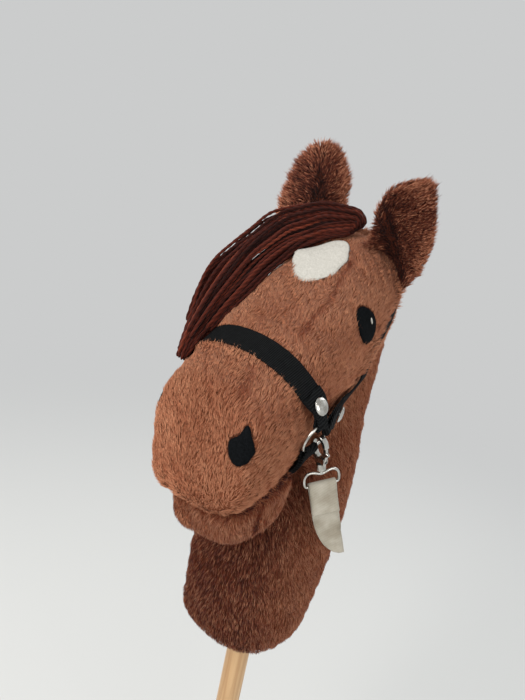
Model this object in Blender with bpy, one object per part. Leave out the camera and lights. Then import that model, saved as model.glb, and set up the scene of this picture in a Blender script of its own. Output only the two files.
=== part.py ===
import math

import bmesh
import bpy
from mathutils import Matrix, Vector
from mathutils.bvhtree import BVHTree

# Stuffed hobby horse: a plush head and neck drawn over the end of a wooden stick,
# with a webbing halter, two rings and a lead clip with a short tab.
# Metres. The horse looks along -Y, its left side is +X, the stick stands on the origin.

MM = 0.001
GAP = 0.3 * MM

# Stick and the sewn sleeve that takes it
STICK_LENGTH = 0.600
STICK_RADIUS = 0.0125
STICK_CHAMFER = 0.0015
SLEEVE_CLEARANCE = 0.0010
SLEEVE_WALL = 0.0022
STICK_IN_NECK = 0.200

# Neck
NECK_FOOT = STICK_LENGTH - STICK_IN_NECK
SLEEVE_FOOT = NECK_FOOT + 0.011
SLEEVE_TOP = STICK_LENGTH + 0.005

# Head, drawn about an axis that drops toward the nose
HEAD_BACK = Vector((0.0, 0.118, NECK_FOOT + 0.380))
HEAD_PITCH = math.radians(31.0)
HEAD_LENGTH = 0.291
HEAD_DEPTH = 0.128
HEAD_WIDTH = 0.116

# Ears
EAR_HEIGHT = 0.090
EAR_WIDTH = 0.057
EAR_THICKNESS = 0.0065

# Felt patches
FELT = 0.0014
PATCH_LIFT = 0.0005

# Halter webbing, rings and studs
WEB_WIDTH = 0.020
WEB_END_WIDTH = 0.0105
CHIN_END_WIDTH = 0.014
WEB = 0.0015
WEB_LIFT = 0.0004
LOOP_GAP = 0.0007
RING_RADIUS = 0.0132
WIRE_RADIUS = 0.0013
RING_STANDOFF = 0.0072
RING_FACING = Vector((0.962, -0.050, -0.268)).normalized()
RING_PLACE = (0.2160, -4.5)
NOSEBAND_STUD_PLACE = 0.0250
CHEEK_STUD_PLACE = 0.0400
STUD_RADIUS = 0.0072
STUD_RISE = 0.0028
STUD_POST = 0.0020
FOLD_PAST_STUD = 0.011
FOLD_LIFT = 0.0012
CHIN_FOLD = 0.032

# Lead clip, drawn in millimetres with the ring wire near its own origin
HANG = Vector((0.150, 0.245, -0.949)).normalized()
CLIP_OUTER = 8.5
CLIP_INNER = 5.0
CLIP_THICKNESS = 4.4
CLIP_WIRE = Vector((-1.5, 0.3))
CLIP_TWIST = math.radians(10.0)
GATE_PIVOT = Vector((3.6, -14.0))
GATE_THICKNESS = 2.4
TAB_WIDTH = 23.5
TAB_THICKNESS = 1.6
TAB_LENGTH = 75.0
TAB_FOLD = 29.0
TAB_LEAN = 0.065
TAB_FACING = math.radians(52.0)
BAR_DROP = -38.25


for old in list(bpy.data.objects):
    bpy.data.objects.remove(old, do_unlink=True)

horse = bpy.data.collections.new("hobby_horse")
bpy.context.scene.collection.children.link(horse)
cutters = bpy.data.collections.new("cutters")
bpy.context.scene.collection.children.link(cutters)

LOOKS = {
    "plush": ((0.165, 0.062, 0.033), 0.95, 0.0),
    "yarn": ((0.070, 0.017, 0.010), 0.90, 0.0),
    "white_felt": ((0.760, 0.745, 0.700), 0.95, 0.0),
    "black_felt": ((0.008, 0.009, 0.010), 0.95, 0.0),
    "webbing": ((0.009, 0.011, 0.012), 0.80, 0.0),
    "nickel": ((0.620, 0.610, 0.590), 0.25, 1.0),
    "tape": ((0.560, 0.510, 0.410), 0.85, 0.0),
    "sleeve": ((0.060, 0.020, 0.012), 0.95, 0.0),
    "wood": ((0.560, 0.360, 0.190), 0.55, 0.0),
}


def dress(body, look, smooth):
    colour, roughness, metallic = LOOKS[look]
    made = bpy.data.materials.new(body.name + "_" + look)
    made.use_nodes = True
    shader = made.node_tree.nodes["Principled BSDF"]
    shader.inputs["Base Color"].default_value = (*colour, 1.0)
    shader.inputs["Roughness"].default_value = roughness
    shader.inputs["Metallic"].default_value = metallic
    body.data.materials.clear()
    body.data.materials.append(made)
    for face in body.data.polygons:
        face.use_smooth = smooth


def add_body(name, points, faces, look=None, smooth=True):
    mesh = bpy.data.meshes.new(name)
    mesh.from_pydata([tuple(p) for p in points], [], faces)
    tidy = bmesh.new()
    tidy.from_mesh(mesh)
    bmesh.ops.remove_doubles(tidy, verts=tidy.verts, dist=0.00001)
    bmesh.ops.recalc_face_normals(tidy, faces=tidy.faces)
    tidy.to_mesh(mesh)
    tidy.free()
    body = bpy.data.objects.new(name, mesh)
    if look is None:
        cutters.objects.link(body)
        body.hide_render = True
        body.display_type = "WIRE"
    else:
        horse.objects.link(body)
        dress(body, look, smooth)
    return body


def bake(body):
    graph = bpy.context.evaluated_depsgraph_get()
    made = bpy.data.meshes.new_from_object(body.evaluated_get(graph))
    body.modifiers.clear()
    spent = body.data
    body.data = made
    bpy.data.meshes.remove(spent)


def combine(body, other, operation):
    step = body.modifiers.new("step", "BOOLEAN")
    step.operation = operation
    step.solver = "EXACT"
    step.object = other
    bpy.context.view_layer.update()
    bake(body)


def cut(body, *others):
    for other in others:
        combine(body, other, "DIFFERENCE")


def keep_main(body):
    # Small loose crumbs left by a cut are cleared away
    work = bmesh.new()
    work.from_mesh(body.data)
    left = set(work.verts)
    groups = []
    while left:
        heap = [left.pop()]
        group = set(heap)
        while heap:
            vert = heap.pop()
            for edge in vert.link_edges:
                far = edge.other_vert(vert)
                if far in left:
                    left.discard(far)
                    group.add(far)
                    heap.append(far)
        groups.append(group)
    groups.sort(key=len)
    for group in groups[:-1]:
        bmesh.ops.delete(work, geom=list(group), context="VERTS")
    work.to_mesh(body.data)
    work.free()


def grown(body, gap=GAP):
    work = bmesh.new()
    work.from_mesh(body.data)
    work.normal_update()
    moves = [v.normal * gap * min(v.calc_shell_factor(), 1.8) for v in work.verts]
    for vert, move in zip(work.verts, moves):
        vert.co += move
    mesh = bpy.data.meshes.new(body.name + "_room")
    work.to_mesh(mesh)
    work.free()
    room = bpy.data.objects.new(body.name + "_room", mesh)
    cutters.objects.link(room)
    room.matrix_world = body.matrix_world.copy()
    room.hide_render = True
    room.display_type = "WIRE"
    return room


def loft(name, rings, look=None, closed=False, smooth=True):
    count = len(rings[0])
    points = [p for ring in rings for p in ring]
    faces = []
    spans = len(rings) if closed else len(rings) - 1
    for i in range(spans):
        near = i * count
        far = ((i + 1) % len(rings)) * count
        for j in range(count):
            k = (j + 1) % count
            faces.append((near + j, near + k, far + k, far + j))
    if not closed:
        last = (len(rings) - 1) * count
        faces.append(tuple(range(count)))
        faces.append(tuple(last + j for j in range(count)))
    return add_body(name, points, faces, look, smooth)


def lathe(name, profile, frame, look=None, segments=24, smooth=True):
    # Profile of (radius, height) pairs turned about the frame's own Z
    points = []
    rows = []
    for radius, height in profile:
        if radius < 1e-7:
            rows.append([len(points)])
            points.append(frame @ Vector((0.0, 0.0, height)))
            continue
        rows.append(list(range(len(points), len(points) + segments)))
        for j in range(segments):
            turn = 2.0 * math.pi * j / segments
            spot = Vector((radius * math.cos(turn), radius * math.sin(turn), height))
            points.append(frame @ spot)
    faces = []
    pairs = list(zip(rows, rows[1:]))
    if len(rows[0]) > 1:
        pairs.append((rows[-1], rows[0]))
    for near, far in pairs:
        for j in range(segments):
            k = (j + 1) % segments
            if len(near) == 1:
                faces.append((near[0], far[k], far[j]))
            elif len(far) == 1:
                faces.append((near[j], near[k], far[0]))
            else:
                faces.append((near[j], near[k], far[k], far[j]))
    return add_body(name, points, faces, look, smooth)


def axes_frame(origin, x_axis, y_axis, z_axis):
    turn = Matrix((x_axis, y_axis, z_axis)).transposed().to_4x4()
    return Matrix.Translation(origin) @ turn


def upright_frame(origin, z_axis, toward=Vector((0.0, 1.0, 0.0))):
    z_axis = z_axis.normalized()
    x_axis = (toward - z_axis * toward.dot(z_axis)).normalized()
    return axes_frame(origin, x_axis, z_axis.cross(x_axis), z_axis)


def set_origin(body, point):
    body.data.transform(Matrix.Translation(-point))
    body.location = point


def blend(value, low, high):
    share = min(max((value - low) / (high - low), 0.0), 1.0)
    return share * share * (3.0 - 2.0 * share)


def station_at(table, place):
    # Smooth values between the rows of a table, the first column being the place
    place = min(max(place, table[0][0]), table[-1][0])
    low = 0
    while low < len(table) - 2 and table[low + 1][0] <= place:
        low += 1
    start, end = table[low], table[low + 1]
    before, after = table[max(low - 1, 0)], table[min(low + 2, len(table) - 1)]
    span = end[0] - start[0]
    f = (place - start[0]) / span
    values = []
    for c in range(1, len(start)):
        slope_in = (end[c] - before[c]) / (end[0] - before[0]) * span
        slope_out = (after[c] - start[c]) / (after[0] - start[0]) * span
        value = (2 * f**3 - 3 * f**2 + 1) * start[c] + (f**3 - 2 * f**2 + f) * slope_in
        value += (3 * f**2 - 2 * f**3) * end[c] + (f**3 - f**2) * slope_out
        values.append(value)
    return values


def places(table, splits):
    found = []
    for low, count in enumerate(splits):
        start, end = table[low][0], table[low + 1][0]
        found += [start + (end - start) * i / count for i in range(count)]
    return found + [table[-1][0]]


def signed_power(value, power):
    return math.copysign(abs(value) ** power, value)


def oval(turn, wide, deep, square):
    return (wide * signed_power(math.cos(turn), 2.0 / square),
            deep * signed_power(math.sin(turn), 2.0 / square))


# Head
# Rows: share of length, lift of the centre, lean of the section, depth, width, squareness
HEAD_ROWS = (
    (0.000, 0.016, -11, 0.13, 0.14, 2.0),
    (0.017, 0.039, -9, 0.48, 0.48, 2.0),
    (0.058, 0.070, -5, 0.78, 0.68, 2.1),
    (0.158, 0.090, -1, 0.95, 0.83, 2.2),
    (0.333, 0.062, 0, 1.00, 0.93, 2.3),
    (0.519, 0.062, 0, 0.98, 0.97, 2.3),
    (0.701, 0.055, -1, 0.94, 1.00, 2.3),
    (0.832, 0.043, -9, 0.91, 0.99, 2.4),
    (0.921, 0.053, -18, 0.83, 0.93, 2.6),
    (0.976, 0.066, -28, 0.64, 0.77, 2.6),
    (1.000, 0.078, -34, 0.25, 0.34, 2.3),
)
HEAD_AXIS = Vector((0.0, -math.cos(HEAD_PITCH), -math.sin(HEAD_PITCH)))
HEAD_UP = Vector((0.0, -math.sin(HEAD_PITCH), math.cos(HEAD_PITCH)))


def head_skin(along, angle):
    # Point on the skin: along the head from the back, angle 0 left side, 90 on top
    lift, lean, deep, wide, square = station_at(HEAD_ROWS, along / HEAD_LENGTH)
    pitch = HEAD_PITCH + math.radians(lean)
    up = Vector((0.0, -math.sin(pitch), math.cos(pitch)))
    x, t = oval(math.radians(angle), wide * HEAD_WIDTH / 2, deep * HEAD_DEPTH / 2, square)
    centre = HEAD_BACK + HEAD_AXIS * along + HEAD_UP * lift * HEAD_DEPTH
    return centre + Vector((x, 0.0, 0.0)) + up * t


def head_normal(along, angle):
    low = max(along - 0.5 * MM, 0.0)
    high = min(along + 0.5 * MM, HEAD_LENGTH)
    lengthwise = head_skin(high, angle) - head_skin(low, angle)
    around = head_skin(along, angle + 1.0) - head_skin(along, angle - 1.0)
    return around.cross(lengthwise).normalized()


def section(centre, across, up, wide, deep, square, count):
    ring = []
    for j in range(count):
        x, t = oval(2.0 * math.pi * (j + 0.5) / count, wide, deep, square)
        ring.append(centre + across * x + up * t)
    return ring


HEAD_COUNT = 36
rings = []
for share in places(HEAD_ROWS, (2, 2, 3, 4, 3, 3, 3, 3, 3, 2)):
    spot = share * HEAD_LENGTH
    rings.append([head_skin(spot, 360.0 * (j + 0.5) / HEAD_COUNT) for j in range(HEAD_COUNT)])
head = loft("head", rings, "plush")
head_room = grown(head)
head_tree = BVHTree.FromObject(head, bpy.context.evaluated_depsgraph_get())

# Neck
# Rows: height over the neck's foot, centre toward the back, half width, half depth (mm)
NECK_ROWS = (
    (14.0, -8.0, 32.0, 30.0),
    (17.0, -8.0, 45.0, 43.0),
    (25.0, -8.0, 53.0, 52.0),
    (43.0, -8.0, 60.0, 60.0),
    (66.0, -5.0, 64.0, 66.0),
    (107.0, 2.0, 66.0, 74.0),
    (157.0, 15.0, 65.0, 75.0),
    (207.0, 35.0, 57.0, 68.0),
    (242.0, 50.0, 48.0, 60.0),
    (282.0, 63.0, 44.0, 55.0),
    (322.0, 70.0, 42.0, 50.0),
    (352.0, 76.0, 36.0, 40.0),
    (374.0, 82.0, 22.0, 22.0),
)
X_AXIS = Vector((1.0, 0.0, 0.0))
Z_AXIS = Vector((0.0, 0.0, 1.0))


def neck_skin(rise, angle):
    # Point on the neck: rise in mm over its foot, angle 0 left side, 90 at the back
    back, wide, deep = station_at(NECK_ROWS, rise)
    x, y = oval(math.radians(angle), wide, deep, 2.2)
    return Vector((x * MM, (back + y) * MM, NECK_FOOT + rise * MM))


def neck_normal(rise, angle):
    upward = neck_skin(rise + 0.5, angle) - neck_skin(rise - 0.5, angle)
    around = neck_skin(rise, angle + 1.0) - neck_skin(rise, angle - 1.0)
    return around.cross(upward).normalized()


NECK_COUNT = 36
rings = []
for rise in places(NECK_ROWS, (1, 2, 3, 2, 3, 3, 3, 2, 2, 2, 1, 1)):
    rings.append([neck_skin(rise, 360.0 * (j + 0.5) / NECK_COUNT) for j in range(NECK_COUNT)])
neck = loft("neck", rings, "plush")
cut(neck, head_room)
sleeve_radius = STICK_RADIUS + SLEEVE_CLEARANCE + SLEEVE_WALL
bore = lathe("sleeve_bore", (
    (0.0, SLEEVE_FOOT - 0.010),
    (sleeve_radius + GAP, SLEEVE_FOOT - 0.010),
    (sleeve_radius + GAP, SLEEVE_TOP + SLEEVE_WALL + GAP),
    (0.0, SLEEVE_TOP + SLEEVE_WALL + GAP),
), Matrix.Identity(4), segments=32)
cut(neck, bore)
keep_main(neck)
dress(neck, "plush", True)

# Stick and sleeve
lathe("stick", (
    (0.0, 0.0),
    (STICK_RADIUS - STICK_CHAMFER, 0.0),
    (STICK_RADIUS, STICK_CHAMFER),
    (STICK_RADIUS, STICK_LENGTH - STICK_CHAMFER),
    (STICK_RADIUS - STICK_CHAMFER, STICK_LENGTH),
    (0.0, STICK_LENGTH),
), Matrix.Identity(4), "wood", segments=32)
lathe("stick_sleeve", (
    (0.0, SLEEVE_TOP + SLEEVE_WALL),
    (sleeve_radius, SLEEVE_TOP + SLEEVE_WALL),
    (sleeve_radius, SLEEVE_FOOT),
    (STICK_RADIUS + SLEEVE_CLEARANCE, SLEEVE_FOOT),
    (STICK_RADIUS + SLEEVE_CLEARANCE, SLEEVE_TOP),
    (0.0, SLEEVE_TOP),
), Matrix.Identity(4), "sleeve", segments=32)

# Webbing paths over the head


def trace(marks):
    spots = []
    for low in range(len(marks) - 1):
        before, after = marks[max(low - 1, 0)], marks[min(low + 2, len(marks) - 1)]
        start, end = marks[low], marks[low + 1]
        for step in range(14):
            f = step / 14.0
            spot = []
            for c in range(2):
                value = 2 * start[c] + (end[c] - before[c]) * f
                value += (2 * before[c] - 5 * start[c] + 4 * end[c] - after[c]) * f**2
                value += (3 * start[c] - before[c] - 3 * end[c] + after[c]) * f**3
                spot.append(value / 2)
            spots.append(spot)
    spots.append(list(marks[-1]))
    lengths = [0.0]
    for near, far in zip(spots, spots[1:]):
        lengths.append(lengths[-1] + (head_skin(*far) - head_skin(*near)).length)
    return spots, lengths


def spot_on(track, length):
    spots, lengths = track
    low = 0
    while low < len(lengths) - 2 and lengths[low + 1] < length:
        low += 1
    f = (length - lengths[low]) / (lengths[low + 1] - lengths[low])
    f = min(max(f, -1.0), 1.0)
    return [spots[low][c] + (spots[low + 1][c] - spots[low][c]) * f for c in range(2)]


def frame_on(track, length):
    # Skin point, skin normal and running direction of a path
    spot = spot_on(track, length)
    total = track[1][-1]
    low, high = max(length - 2 * MM, 0.0), min(length + 2 * MM, total)
    ahead = head_skin(*spot_on(track, high)) - head_skin(*spot_on(track, low))
    normal = head_normal(*spot)
    ahead = (ahead - normal * ahead.dot(normal)).normalized()
    return head_skin(*spot), normal, ahead


ring_skin = head_skin(*RING_PLACE)
ring_centre = ring_skin + head_normal(*RING_PLACE) * RING_STANDOFF
ring_out = RING_FACING
ring_fore = (HEAD_AXIS - ring_out * HEAD_AXIS.dot(ring_out)).normalized()
ring_up = ring_fore.cross(ring_out)

noseband_path = trace((RING_PLACE, (0.2105, 5.0), (0.2052, 15.0), (0.2065, 38.0), (0.208, 65.0),
                       (0.208, 90.0)))
cheek_path = trace((RING_PLACE, (0.195, -5.0), (0.172, -16.5), (0.148, -28.5), (0.127, -30.0),
                    (0.108, -21.0), (0.088, -11.0), (0.066, -9.0), (0.046, -10.0), (0.030, 3.0),
                    (0.020, 25.0), (0.0165, 58.0), (0.0155, 90.0)))
chin_path = trace((RING_PLACE, (0.2215, -15.5), (0.2235, -30.0), (0.2200, -48.0),
                   (0.2170, -68.0), (0.2135, -90.0)))


def wire_under(track):
    # Point of the ring's wire that a path crosses, and the wire's direction there
    heading = frame_on(track, 0.014)[0] - ring_skin
    heading = (heading - ring_out * heading.dot(ring_out)).normalized()
    return ring_centre + heading * RING_RADIUS, ring_out.cross(heading)


def wire_meeting(track):
    # Where a path crosses the ring's wire: distance along the path and rise over the skin
    wire = wire_under(track)[0]
    low, high = 0.004, 0.022
    for _ in range(30):
        middle = (low + high) / 2
        point, normal, ahead = frame_on(track, middle)
        if (wire - point).dot(ahead) > 0:
            low = middle
        else:
            high = middle
    return middle, (wire - point).dot(normal)


def web_half_width(length, end_width):
    narrow, full = end_width / 2, WEB_WIDTH / 2
    return narrow + (full - narrow) * blend(length, 0.016, 0.029)


def web_heights(track, fold_end, lift):
    # Heights over the skin of the folded layer and the long layer under it
    at, rise = wire_meeting(track)
    turn = WIRE_RADIUS + LOOP_GAP + WEB / 2
    start = rise + turn
    slope = (WEB_LIFT + lift + WEB * 1.5 + GAP - start) / (fold_end - at)

    def outer(length):
        return start + slope * (length - at)

    def under(length):
        share = blend(length, at + 0.001, at + 0.010)
        apart = (WEB + GAP) * math.sqrt(1.0 + slope**2)
        return rise - turn + (outer(length) - apart - rise + turn) * share

    return at, rise, turn, slope, outer, under


def web_profile(track, fold_end, lift):
    # Side view of the webbing: folded layer, turn round the wire, then the long run
    at, rise, turn, slope, outer, under = web_heights(track, fold_end, lift)
    rest = WEB_LIFT + WEB / 2
    reach = fold_end - at
    lengths = [at + reach * share for share in (0.14, 0.28, 0.43, 0.58, 0.72, 0.86, 1.0)]
    steps = [(length, outer(length)) for length in reversed(lengths)]
    for degrees in (90, 120, 150, 180, 210, 240, 270):
        bend = math.radians(degrees)
        steps.append((at + turn * math.cos(bend), rise + turn * math.sin(bend)))
    steps += [(length, under(length)) for length in lengths]
    if lift > 0:
        foot = under(fold_end)
        steps.append((fold_end + 0.005, foot + (rest - foot) * 0.5))
        steps.append((fold_end + 0.010, rest))
    return steps, at, rest


def web_half(track, lift, fold_end, end_width, pace):
    # Sections of half a strap, from the folded end to the middle of the head
    steps, at, rest = web_profile(track, fold_end, lift)
    wire, along_wire = wire_under(track)
    wire_rise = wire_meeting(track)[1]
    total = track[1][-1]
    start = steps[-1][0]
    count = max(2, round((total - start) / pace))
    steps += [(start + (total - start) * i / count, rest) for i in range(1, count + 1)]
    sections = []
    for i, (length, rise) in enumerate(steps):
        before, after = steps[max(i - 1, 0)], steps[min(i + 1, len(steps) - 1)]
        run = Vector((after[0] - before[0], after[1] - before[1])).normalized()
        point, normal, ahead = frame_on(track, length)
        side = normal.cross(ahead)
        if i == len(steps) - 1:
            ahead = Vector((math.copysign(1.0, ahead.x), 0.0, 0.0))
            normal = Vector((0.0, normal.y, normal.z)).normalized()
            side = normal.cross(ahead)
            point.x = 0.0
        middle = point + normal * rise
        bend = 1.0 - blend(length, at + 0.003, at + 0.012)
        if bend > 0:
            # Close to the ring the webbing squares itself to the wire
            side = (side * (1.0 - bend) + along_wire * bend).normalized()
            normal = (normal - side * normal.dot(side)).normalized()
            ahead = side.cross(normal)
            hung = wire + ahead * (length - at) + normal * (rise - wire_rise)
            middle = middle.lerp(hung, bend)
        face = normal * run.x - ahead * run.y
        half = web_half_width(length, end_width)
        row = []
        for share in (-1.0, -0.5, 0.0, 0.5, 1.0):
            offset = share * half
            sag = (RING_RADIUS - math.sqrt(RING_RADIUS**2 - min(abs(offset), 0.009)**2)) * bend
            row.append(middle + side * offset - ahead * sag)
        low = [spot - face * (WEB / 2) for spot in reversed(row)]
        high = [spot + face * (WEB / 2) for spot in row]
        sections.append(high + low)
    return sections


def mirrored(point):
    return Vector((-point.x, point.y, point.z))


def strap(name, track, lift, fold_end, end_width, pace):
    half = web_half(track, lift, fold_end, end_width, pace)
    other = [[mirrored(p) for p in row] for row in reversed(half[:-1])]
    return loft(name, half + other, "webbing", smooth=False)


noseband = strap("noseband", noseband_path, FOLD_LIFT,
                 NOSEBAND_STUD_PLACE + FOLD_PAST_STUD, WEB_END_WIDTH, 0.011)
headpiece = strap("headpiece", cheek_path, FOLD_LIFT,
                  CHEEK_STUD_PLACE + FOLD_PAST_STUD, WEB_END_WIDTH, 0.010)
chin_strap = strap("chin_strap", chin_path, 0.0,
                   CHIN_FOLD, CHIN_END_WIDTH, 0.010)

# Studs through both layers of webbing, heights taken from the middle of the under layer
CAP_FOOT = WEB + GAP + WEB / 2 + 2 * GAP
PLATE_TOP = -WEB / 2 - 2 * GAP
PLATE_FOOT = PLATE_TOP - 0.8 * MM


def mirror_frame(frame):
    spot = mirrored(frame.translation)
    return upright_frame(spot, mirrored(frame.col[2].to_3d()))


for strap_body, track, place, label in (
        (noseband, noseband_path, NOSEBAND_STUD_PLACE, "noseband"),
        (headpiece, cheek_path, CHEEK_STUD_PLACE, "cheek")):
    point, normal, ahead = frame_on(track, place)
    heights = web_heights(track, place + FOLD_PAST_STUD, FOLD_LIFT)
    slope, under = heights[3], heights[5]
    left = upright_frame(point + normal * under(place), normal - ahead * slope)
    for frame, side in ((left, "left"), (mirror_frame(left), "right")):
        hole = lathe(label + "_hole_" + side, (
            (0.0, -2.5 * MM),
            (STUD_POST + GAP, -2.5 * MM),
            (STUD_POST + GAP, 4.5 * MM),
            (0.0, 4.5 * MM),
        ), frame, segments=14)
        cut(strap_body, hole)
        lathe("stud_" + label + "_" + side, (
            (0.0, CAP_FOOT + STUD_RISE),
            (STUD_RADIUS * 0.38, CAP_FOOT + STUD_RISE * 0.95),
            (STUD_RADIUS * 0.70, CAP_FOOT + STUD_RISE * 0.74),
            (STUD_RADIUS * 0.92, CAP_FOOT + STUD_RISE * 0.44),
            (STUD_RADIUS, CAP_FOOT + STUD_RISE * 0.16),
            (STUD_RADIUS * 0.97, CAP_FOOT),
            (STUD_POST, CAP_FOOT),
            (STUD_POST, PLATE_FOOT),
            (0.0, PLATE_FOOT),
        ), frame, "nickel", segments=20)
        lathe("stud_back_" + label + "_" + side, (
            (STUD_POST + GAP, PLATE_FOOT),
            (4.4 * MM, PLATE_FOOT),
            (4.4 * MM, PLATE_TOP),
            (STUD_POST + GAP, PLATE_TOP),
        ), frame, "nickel", segments=16, smooth=False)
    dress(strap_body, "webbing", False)

# Rings


def wire_ring(name, centre, axis, look):
    frame = upright_frame(centre, axis)
    rings = []
    for i in range(36):
        turn = 2.0 * math.pi * i / 36
        spoke = frame.to_3x3() @ Vector((math.cos(turn), math.sin(turn), 0.0))
        ring = []
        for j in range(8):
            bend = 2.0 * math.pi * (j + 0.5) / 8
            ring.append(centre + spoke * (RING_RADIUS + WIRE_RADIUS * math.cos(bend))
                        + axis * WIRE_RADIUS * math.sin(bend))
        rings.append(ring)
    body = loft(name, rings, look, closed=True)
    set_origin(body, centre)
    return body


wire_ring("ring_left", ring_centre, ring_out, "nickel")
wire_ring("ring_right", mirrored(ring_centre), mirrored(ring_out), "nickel")

# Lower jaw
# Rows: distance in front of the stick, centre height over the neck's foot, half depth,
# half width (mm), squareness
JAW_ROWS = (
    (44.0, 227.0, 12.0, 14.0, 2.2),
    (46.0, 225.0, 30.0, 31.0, 2.3),
    (50.0, 222.0, 47.0, 43.0, 2.5),
    (57.0, 220.0, 57.0, 49.0, 2.7),
    (68.0, 218.0, 61.0, 50.0, 2.8),
    (88.0, 213.0, 57.0, 46.0, 2.9),
    (102.0, 205.0, 45.0, 40.0, 2.9),
    (109.0, 193.0, 27.0, 31.0, 2.7),
    (112.0, 187.0, 11.0, 17.0, 2.4),
)
rings = []
for fore in places(JAW_ROWS, (1, 1, 2, 2, 3, 3, 2, 1)):
    height, deep, wide, square = station_at(JAW_ROWS, fore)
    centre = Vector((0.0, -fore * MM, NECK_FOOT + height * MM))
    rings.append(section(centre, X_AXIS, Z_AXIS, wide * MM, deep * MM, square, 32))
lower_jaw = loft("lower_jaw", rings, "plush")

# Room in the jaw for the chin strap passing behind it
rings = []
for i in range(13):
    length = 0.012 + (chin_path[1][-1] - 0.012) * i / 12
    point, normal, ahead = frame_on(chin_path, length)
    if i == 12:
        ahead = Vector((-1.0, 0.0, 0.0))
        normal = Vector((0.0, normal.y, normal.z)).normalized()
        point.x = 0.0
    side = normal.cross(ahead) * (WEB_WIDTH / 2 + GAP)
    low, high = point - normal * 2 * MM, point + normal * (4.1 * MM + GAP)
    rings.append([low - side, low + side, high + side, high - side])
rings += [[mirrored(p) for p in ring] for ring in reversed(rings[:-1])]
cut(lower_jaw, head_room, grown(neck), loft("chin_room", rings))
keep_main(lower_jaw)
dress(lower_jaw, "plush", True)

# Ears, the left one drawn in more at its root
# Rows: share of height, share of width, lean outward, hollow (mm), share of thickness
LEFT_EAR_ROWS = (
    (-0.300, 0.64, 3.0, 15.0, 1.00),
    (0.000, 0.88, 4.0, 14.0, 1.00),
    (0.200, 0.90, 5.0, 11.5, 1.00),
    (0.400, 0.86, 5.0, 9.0, 1.00),
    (0.600, 0.86, 0.5, 6.5, 0.95),
    (0.780, 0.72, -2.0, 4.5, 0.90),
    (0.900, 0.50, 0.0, 3.0, 0.80),
    (0.970, 0.31, 3.0, 2.0, 0.70),
    (1.000, 0.13, 4.0, 1.5, 0.50),
)
RIGHT_EAR_ROWS = (
    (-0.300, 0.75, 3.0, 15.0, 1.00),
    (0.000, 1.05, 3.0, 14.0, 1.00),
    (0.200, 1.11, 3.0, 11.5, 1.00),
    (0.400, 1.10, 2.0, 9.0, 1.00),
    (0.600, 1.01, -2.0, 6.5, 0.95),
    (0.780, 0.83, -4.0, 4.5, 0.90),
    (0.900, 0.58, -5.0, 3.0, 0.80),
    (0.970, 0.36, -6.0, 2.0, 0.70),
    (1.000, 0.15, -6.5, 1.5, 0.50),
)
EAR_STEPS = 9


def add_ear(name, rows, root, rise, outward, crease):
    rise = rise.normalized()
    outward = (outward - rise * outward.dot(rise)).normalized()
    face = outward.cross(rise)
    if face.y > 0:
        face = -face
    rings = []
    for share in places(rows, (2, 2, 2, 2, 2, 2, 1, 1)):
        width, lean, hollow, thick = station_at(rows, share)
        half = width * EAR_WIDTH / 2
        spine = root + rise * share * EAR_HEIGHT + outward * lean * MM
        front, back = [], []
        for i in range(EAR_STEPS):
            u = -1.0 + 2.0 * i / (EAR_STEPS - 1)
            reach = (u - crease) / (1.0 - crease if u > crease else 1.0 + crease)
            depth = -hollow * MM * (1.0 - abs(reach) ** 1.6)
            spot = spine + outward * u * half + face * depth
            body = EAR_THICKNESS / 2 * thick * math.sqrt(max(1.0 - 0.92 * u**4, 0.0))
            front.append(spot + face * body)
            back.append(spot - face * body)
        rings.append(front + back[::-1])
    ear = loft(name, rings, "plush")
    cut(ear, head_room, grown(headpiece))
    keep_main(ear)
    dress(ear, "plush", True)
    return ear


ear_left = add_ear("ear_left", LEFT_EAR_ROWS, Vector((0.0343, 0.056, NECK_FOOT + 0.397)),
                   Vector((0.33, -0.44, 0.83)), Vector((0.85, 0.45, -0.25)), -0.38)
ear_right = add_ear("ear_right", RIGHT_EAR_ROWS, Vector((-0.043, 0.048, NECK_FOOT + 0.406)),
                    Vector((-0.09, -0.12, 0.99)), Vector((-0.93, -0.36, 0.0)), -0.20)

# Felt patches laid on the skin


def patch(name, spot, tilt, outline, look, lift, thick, count):
    # Outline gives the reach in mm for a turn, measured from the direction up the skin
    centre = head_skin(*spot)
    normal = head_normal(*spot)
    up = head_skin(spot[0], spot[1] + 1.0) - head_skin(spot[0], spot[1] - 1.0)
    if abs(spot[1] - 90.0) < 10.0:
        up = -HEAD_AXIS
    up = (up - normal * up.dot(normal)).normalized()
    side = up.cross(normal)
    top, under = [], []
    shares = (0.0, 0.36, 0.70, 0.93, 1.0)
    for share in shares:
        rim = thick * (1.0 if share < 0.95 else 0.45)
        for j in range(count if share > 0 else 1):
            turn = 2.0 * math.pi * j / count
            reach = outline(turn) * share * MM
            x = reach * math.sin(turn + tilt)
            y = reach * math.cos(turn + tilt)
            over = centre + side * x + up * y + normal * 0.04
            hit, facing, _, _ = head_tree.ray_cast(over, -normal)
            slope = max(facing.dot(normal), 0.5)
            top.append(hit + normal * (lift + rim) / slope)
            under.append(hit + normal * lift / slope)
    size = len(top)
    faces = []
    for base in (0, size):
        for j in range(count):
            k = (j + 1) % count
            faces.append((base, base + 1 + j, base + 1 + k))
            for ring in range(len(shares) - 2):
                near = base + 1 + ring * count
                far = near + count
                faces.append((near + j, far + j, far + k, near + k))
    rim_start = 1 + (len(shares) - 2) * count
    for j in range(count):
        k = (j + 1) % count
        faces.append((rim_start + j, size + rim_start + j,
                      size + rim_start + k, rim_start + k))
    return add_body(name, top + under, faces, look)


def mirror_body(body, name, look):
    points = [mirrored(v.co) for v in body.data.vertices]
    faces = [tuple(reversed(face.vertices)) for face in body.data.polygons]
    return add_body(name, points, faces, look)


STAR_REACH = (38.0, 24.0, 19.0, 24.5, 37.0, 25.5, 21.5, 30.0)


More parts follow.
